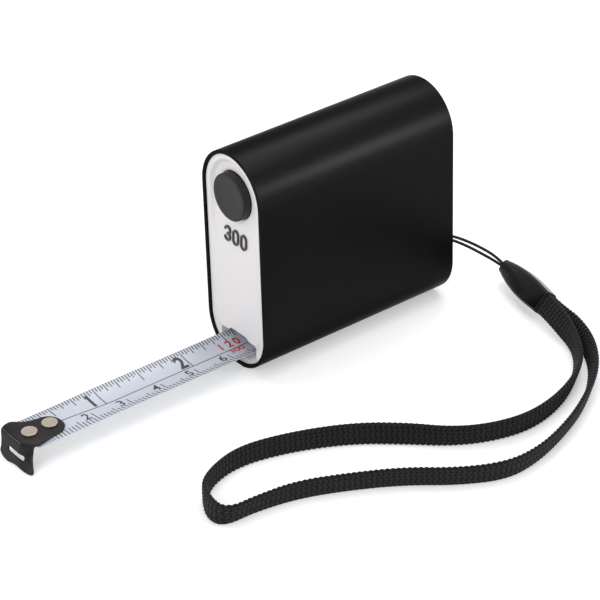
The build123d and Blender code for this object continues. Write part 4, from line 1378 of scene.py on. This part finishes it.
def make_hook():
    """Folded plate with a slot; its outline is drawn flat, in (along, across)."""
    outline = smooth_line(
        [(12.55, -0.6), (12.3, 1.1), (11.25, 2.67), (9.84, 3.45), (8.2, 3.75), (6.5, 4.2),
         (5.0, 4.8), (3.9, 5.6), (2.55, 6.26), (0.95, 6.05), (0.3, 5.8), (-0.5, 5.6),
         (-1.81, 5.1), (-3.5, 4.76), (-4.96, 4.75), (-5.84, 3.28), (-6.12, 1.3), (-5.84, -0.26),
         (-5.62, -2.33), (-5.98, -4.05), (-6.2, -5.3), (-6.2, -6.25), (-6.02, -7.05),
         (-5.63, -7.9), (-4.5, -7.88), (-2.34, -6.4), (-0.96, -5.88), (0.33, -5.72), (1.6, -5.8),
         (2.7, -5.75), (4.5, -5.4), (7.3, -4.75), (9.9, -4.35), (11.2, -3.65), (12.3, -2.3),
         (12.55, -0.6)], 5)[:-1]
    slot_along, slot_lean, slot_half = -2.85, 0.045, 0.58
    slot_top, slot_foot = 1.25, -3.8
    slot = offset_outline([(slot_along - slot_lean * (slot_top - y), y)
                           for y in np.linspace(slot_top, slot_foot, 12)], slot_half)[0]
    distances = [path_distance(outline, True), path_distance(slot, True)]
    soft, near_edge = 0.14, 0.25

    def from_edge(s, y):
        return min(d(s, y) for d in distances)

    def keep(s, y):
        return inside(s, y, outline) and not inside(s, y, slot)

    # Close rows of points where the plate is folded, and wider ones elsewhere.
    rows = sorted(set(np.round(np.concatenate((np.arange(-6.6, -0.9, 0.35),
                                               np.arange(-0.9, 0.91, 0.1),
                                               np.arange(1.0, 12.6, 0.5))), 3)))
    extra = [(s, y) for s in rows for y in np.arange(-8.0, 7.1, 0.5)
             if keep(s, y) and from_edge(s, y) > near_edge]
    inner = [shrunk(loop, inset) for loop, inset in
             ((outline, 0.05), (outline, soft), (slot, -0.05), (slot, -soft))]
    flat, faces = flat_faces([outline, slot] + inner, extra, keep)

    def lift(s, y):
        return hook_thickness / 2 - edge_drop(from_edge(s, y), soft)

    points, faces = plate(flat, faces, lift, lambda s, y: -lift(s, y), hook_point)
    return mesh_piece("hook_plate", points, faces, hook_steel, 50.0)


use(make_hook(), "end_hook", ["hook"])


def make_rivets():
    """Two rivets with shallow round heads, through the hook and the blade."""
    head_radius, head_height, head_round = 1.95, 0.45, 0.2
    tail_radius, tail_height, shank_radius = 1.6, 0.3, 0.9
    first_x, spacing = bend_x + 4.25, 5.65
    low, high = box_mm("rivets")
    top, base = high[2], high[2] - head_height
    profile = [(low[2], 0.0), (low[2], tail_radius), (low[2] + tail_height, tail_radius),
               (low[2] + tail_height, shank_radius), (base, shank_radius),
               (base, head_radius - 0.05), (base + 0.05, head_radius)]
    profile += [(top - drop, head_radius - inset) for inset, drop in rounding(6, head_round)]
    profile += [(top - 0.03, head_radius - 0.32), (top - 0.045, 1.0), (top - 0.05, 0.0)]
    rivet = mesh_piece("rivet", *turned(profile, (0, 0, 0), 2), rivet_nickel, 40.0)
    return row("rivet_pair", rivet, 2, (first_x, 0, 0), (spacing, 0, 0), rivet_nickel)


use(make_rivets(), "blade", ["rivets"])


# ================================================================ ferrule, string and strap
ferrule_start = np.array((46.2, -12.0, 4.2))
ferrule_end = np.array((41.2, -33.5, 4.2))
ferrule_axis = (ferrule_end - ferrule_start) / np.linalg.norm(ferrule_end - ferrule_start)
ferrule_side = -np.cross(ferrule_axis, (0, 0, 1))
ferrule_tilt = math.radians(40.0)
upwards = np.array((0, 0, 1))
ferrule_wide = upwards * math.cos(ferrule_tilt) + ferrule_side * math.sin(ferrule_tilt)
ferrule_thin = ferrule_side * math.cos(ferrule_tilt) - upwards * math.sin(ferrule_tilt)


def make_ferrule():
    """Rounded sleeve, narrow where the string comes out and wide where the strap goes in."""
    # Share of the length, width, thickness and corner radius.
    forms = np.array([(0.04, 2.9, 2.3, 0.9), (0.055, 3.4, 2.7, 1.0), (0.12, 4.3, 3.3, 1.05),
                      (0.3, 5.75, 4.0, 1.1), (0.5, 6.7, 4.35, 1.1), (0.68, 6.85, 4.4, 1.05),
                      (0.86, 6.5, 4.3, 1.0), (0.985, 6.2, 4.2, 1.0)])
    sharp = 3  # so many sections keep the edge at the string's end; the others are smoothed
    shares = np.concatenate(([0.04, 0.046, 0.052], np.linspace(0.058, 0.985, 44)))
    sections = np.stack([shares] + [np.interp(shares, forms[:, 0], forms[:, k])
                                    for k in (1, 2, 3)], axis=1)
    smooth = sections.tolist()
    for i in range(sharp, len(sections)):
        smooth[i][1:] = sections[max(i - 2, sharp):i + 3, 1:].mean(axis=0).tolist()
    # The lip at the strap end, and the socket that the strap goes into.
    wide, thick, corner = forms[-1, 1:]
    for share, grow in ((0.993, -0.06), (1.0, -0.28), (1.0, -0.6), (0.997, -0.7),
                        (0.93, -0.8)):
        smooth.append([share, wide + grow, thick + grow, corner + grow / 2])
    string_hole = [[0.1, 1.6, 1.3, 0.64], [0.04, 1.9, 1.5, 0.74]]
    loops = []
    for share, wide, thick, corner in string_hole + smooth:
        middle = ferrule_start + (ferrule_end - ferrule_start) * share
        loops.append([middle + ferrule_wide * a + ferrule_thin * b
                      for a, b in rounded_rectangle(wide, thick, corner, 14)])
    return mesh_piece("ferrule_moulding", *skin(loops), ferrule_plastic, 38.0)


use(make_ferrule(), "body", ["ferrule"])


def route_points(points, name):
    """Points in millimetres, close together and evenly spaced, along a smooth curve."""
    curve = bpy.data.curves.new(name, "CURVE")
    curve.dimensions = "3D"
    curve.resolution_u = 40
    spline = curve.splines.new("NURBS")
    spline.points.add(len(points) - 1)
    for knot, place in zip(spline.points, points):
        knot.co = (place[0] * MM, place[1] * MM, place[2] * MM, 1)
    spline.order_u = 3
    spline.use_endpoint_u = True
    obj = link(bpy.data.objects.new(name, curve))
    mesh = evaluated_mesh(obj)
    line = np.array([v.co for v in mesh.vertices]) / MM
    bpy.data.objects.remove(obj)
    bpy.data.meshes.remove(mesh)
    return line


def evenly(line, step):
    """The line again with its points at even steps, and how far along it each one is."""
    gaps = np.linalg.norm(np.diff(line[:, :3], axis=0), axis=1)
    travelled = np.concatenate(([0], np.cumsum(gaps)))
    count = int(round(travelled[-1] / step)) + 1
    wanted = np.linspace(0, travelled[-1], count)
    return np.stack([np.interp(wanted, travelled, values) for values in line.T], axis=1), wanted


def directions(line):
    """Unit vectors along a line."""
    tangent = np.gradient(line, axis=0)
    return tangent / np.linalg.norm(tangent, axis=1)[:, None]


def swept(name, bands, material, crests=None):
    """Closed bands as one piece, each from its rows of points and their (u, v), in millimetres.

    crests says how high each point lies on its strand, from 0 in the crevice to 1; the material
    paints shade into the low points with it."""
    mesh = mesh_in_mm(name, *joined(*(skin(rows) for rows, _ in bands)))
    layer = mesh.uv_layers.new(name="UVMap")
    flat = [uv for _, uv_rows in bands for uv_row in uv_rows for uv in uv_row]
    for loop in mesh.loops:
        layer.data[loop.index].uv = flat[loop.vertex_index]
    face_outwards(mesh, merged=False)
    obj = dressed(name, mesh, material, 60.0)
    share = mesh.attributes.new("crest", "FLOAT", "POINT")
    share.data.foreach_set("value", np.ones(len(mesh.vertices)) if crests is None else crests)
    return obj


# ---- string: two plies laid round each other, out of the ferrule, round the pin and back
string_route = [
    (45.9, -13.1, 4.5), (46.8, -9.0, 4.8), (45.4, -5.0, 6.2), (41.6, -1.8, 8.9),
    (36.8, -0.3, 11.5), (31.4, 0.0, 12.9), (26.4, 0.0, 13.3), (25.6, 0.0, 11.9),
    (26.4, 0.0, 10.5), (31.4, 0.0, 11.6), (36.6, -0.6, 10.7), (41.0, -2.3, 8.0),
    (44.6, -5.5, 5.2), (46.5, -9.3, 3.6), (45.9, -13.1, 3.8),
]


def make_string():
    """The string and the line that it follows."""
    pitch, offset, radius, flatness = 1.9, 0.09, 0.31, 1.15
    step, steps_round = 0.16, 8
    line, travelled = evenly(route_points(string_route, "string_line"), step)
    tangent = directions(line)
    across = np.cross(tangent, (0.13, 1, 0.07))
    across /= np.linalg.norm(across, axis=1)[:, None]
    other = np.cross(tangent, across)
    angles = whole_turn(steps_round)
    plies = []
    for ply in (0, 1):
        rows, uv_rows = [], []
        for i in range(len(line)):
            turn = 2 * math.pi * travelled[i] / pitch + ply * math.pi
            out = across[i] * math.cos(turn) + other[i] * math.sin(turn)
            side = -across[i] * math.sin(turn) + other[i] * math.cos(turn)
            middle = line[i] + out * offset
            rows.append([middle + (out * math.cos(a) + side * flatness * math.sin(a)) * radius
                         for a in angles])
            uv_rows.append([(travelled[i], radius * a) for a in angles])
        plies.append((rows, uv_rows))
    return swept("string", plies, string_fabric), line


string, string_line = make_string()
use(string, "body", ["string_loop"])


# ---- strap: a flat braid on its edge, out of the ferrule and back into it
# Each point has the braid's lean outwards, in degrees, after its place.
strap_route = [
    (40.32, -33.3, 4.2, 38), (39.19, -38.17, 4.2, 38), (37.3, -46.2, 3.5, 38),
    (34.2, -52.6, 3.1, -1), (28.2, -59.2, 3.0, -21), (18.8, -64.9, 2.9, -12),
    (6.9, -68.0, 2.9, -8), (-3.2, -66.6, 2.9, -9), (-13.0, -61.6, 2.9, -7), (-21.5, -52.5, 2.9, 8),
    (-30.6, -44.8, 2.9, 4), (-43.3, -38.5, 2.9, -1), (-55.8, -35.2, 2.9, -1),
    (-65.3, -37.3, 2.9, -7), (-71.4, -41.8, 2.9, 4), (-74.0, -48.9, 2.9, -13),
    (-72.0, -52.5, 2.9, 17), (-65.1, -52.6, 2.9, 18), (-54.5, -54.3, 2.9, 11),
    (-43.9, -59.2, 2.9, 14), (-32.4, -65.9, 2.9, 12), (-23.3, -73.9, 2.9, 14),
    (-13.0, -79.6, 2.9, 11), (-2.6, -79.2, 2.9, 18), (9.5, -75.3, 2.9, 19), (20.6, -69.8, 2.9, 14),
    (30.5, -62.5, 3.0, 20), (36.9, -54.3, 3.2, 12), (40.1, -44.9, 3.6, 12),
    (40.95, -38.57, 4.2, 12), (42.08, -33.7, 4.2, 12),
]
layer_offset = 0.82  # of each of the two layers from the middle of the ferrule
plait_columns = 6
plait_pitch = 1.28
braid_half = 2.87
column_width = 2 * braid_half / plait_columns


def strap_section():
    """Points of the braid's section, closer near its edges: (across, side), side +1 or -1."""
    per_face, edge_angle, closeness = 26, 0.12, 0.35
    turn = -np.cos(np.linspace(edge_angle, math.pi - edge_angle, per_face))
    across = closeness * turn + (1 - closeness) * np.linspace(-1, 1, per_face)
    return ([(a * braid_half, 1) for a in across]
            + [(a * braid_half, -1) for a in across[::-1]])


def plait_point(travelled, across, side):
    """Reach and height of a point of the braid, the height of its strand, and its (u, v)."""
    core, bump, slant, notch_depth, notch_width = 0.34, 0.4, 0.42, 0.26, 0.2
    column = min(int((across + braid_half) / column_width), plait_columns - 1)
    local = (across + braid_half) / column_width - column
    climb = local if column % 2 else 1 - local
    phase = travelled / plait_pitch + slant * climb + 0.5 * (side > 0)
    swell = abs(math.sin(math.pi * phase)) ** 0.7
    crown = max(math.sin(math.pi * min(max(local, 0.0), 1.0)), 0.0) ** 0.45
    edge_share = abs(across) / braid_half
    taper = math.sqrt(max(1 - edge_share**6, 0.0))
    height = (core + bump * swell * (0.35 + 0.65 * crown)) * (0.25 + 0.75 * taper)
    near_edge = max((edge_share - 1 + notch_width) / notch_width, 0.0)
    wave = abs(math.sin(math.pi * (travelled / plait_pitch + 0.3)))
    notch = notch_depth * (1 - wave) * near_edge
    uv = (travelled, abs(local - 0.5) * column_width + 3 * (column % 2))
    return across * (1 - notch / braid_half), height * side, swell * (0.2 + 0.8 * crown), uv


def make_strap():
    """The strap and the line that it follows."""
    inside_ferrule, straight_run, step = 1.2, 5.0, 0.185
    turn_start, turn_length = 4.5, 28.0
    route = [np.array(p[:3]) for p in strap_route]
    leans = route_points([(p[3], 0, 0) for p in strap_route], "strap_lean")[:, 0]
    for first, last, along in ((0, -1, -inside_ferrule), (1, -2, straight_run)):
        middle = ferrule_end + ferrule_axis * along
        route[first] = middle - ferrule_thin * layer_offset
        route[last] = middle + ferrule_thin * layer_offset
    line, travelled = evenly(np.column_stack((route_points(route, "strap_line"), leans)), step)
    line, lean = line[:, :3], np.radians(line[:, 3])
    tangent = directions(line)
    section = strap_section()
    rows, uv_rows, crests = [], [], []
    for i in range(len(line)):
        near_end = min(travelled[i], travelled[-1] - travelled[i])
        tilt = 1 - smooth_share((near_end - turn_start) / turn_length)
        # The braid stands upright, leaning a little, and turns with the ferrule near it.
        outwards = np.cross(tangent[i], upwards)
        upright = upwards * math.cos(lean[i]) + outwards * math.sin(lean[i])
        wide = upright * (1 - tilt) + ferrule_wide * tilt
        wide -= tangent[i] * wide.dot(tangent[i])
        wide /= np.linalg.norm(wide)
        thin = np.cross(tangent[i], wide)
        loop, uv_loop = [], []
        for across, side in section:
            reach, height, crest, uv = plait_point(travelled[i], across, side)
            loop.append(line[i] + wide * reach + thin * height)
            uv_loop.append(uv)
            crests.append(crest)
        rows.append(loop)
        uv_rows.append(uv_loop)
    return swept("strap_braid", [(rows, uv_rows)], strap_fabric, crests), line


strap, strap_line = make_strap()
use(strap, "body", ["strap"])


# ================================================================ pieces kept from the CAD
for material, nodes in (
        (case_plastic, ("case_left", "case_right", "brake_lever")),
        (steel, ("case_screws", "arbor", "backing_plate", "lever_pin", "strap_pin")),
        (drum_plastic, ("drum", "drum_lid")),
        (spring_steel, ("mainspring", "brake_spring")),
        (coil_paint, ("tape_coil",)), (pad_rubber, ("brake_pad",)),
        (guide_plastic, ("tape_guide",))):
    for node in nodes:
        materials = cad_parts[node].data.materials
        materials.clear()
        materials.append(material)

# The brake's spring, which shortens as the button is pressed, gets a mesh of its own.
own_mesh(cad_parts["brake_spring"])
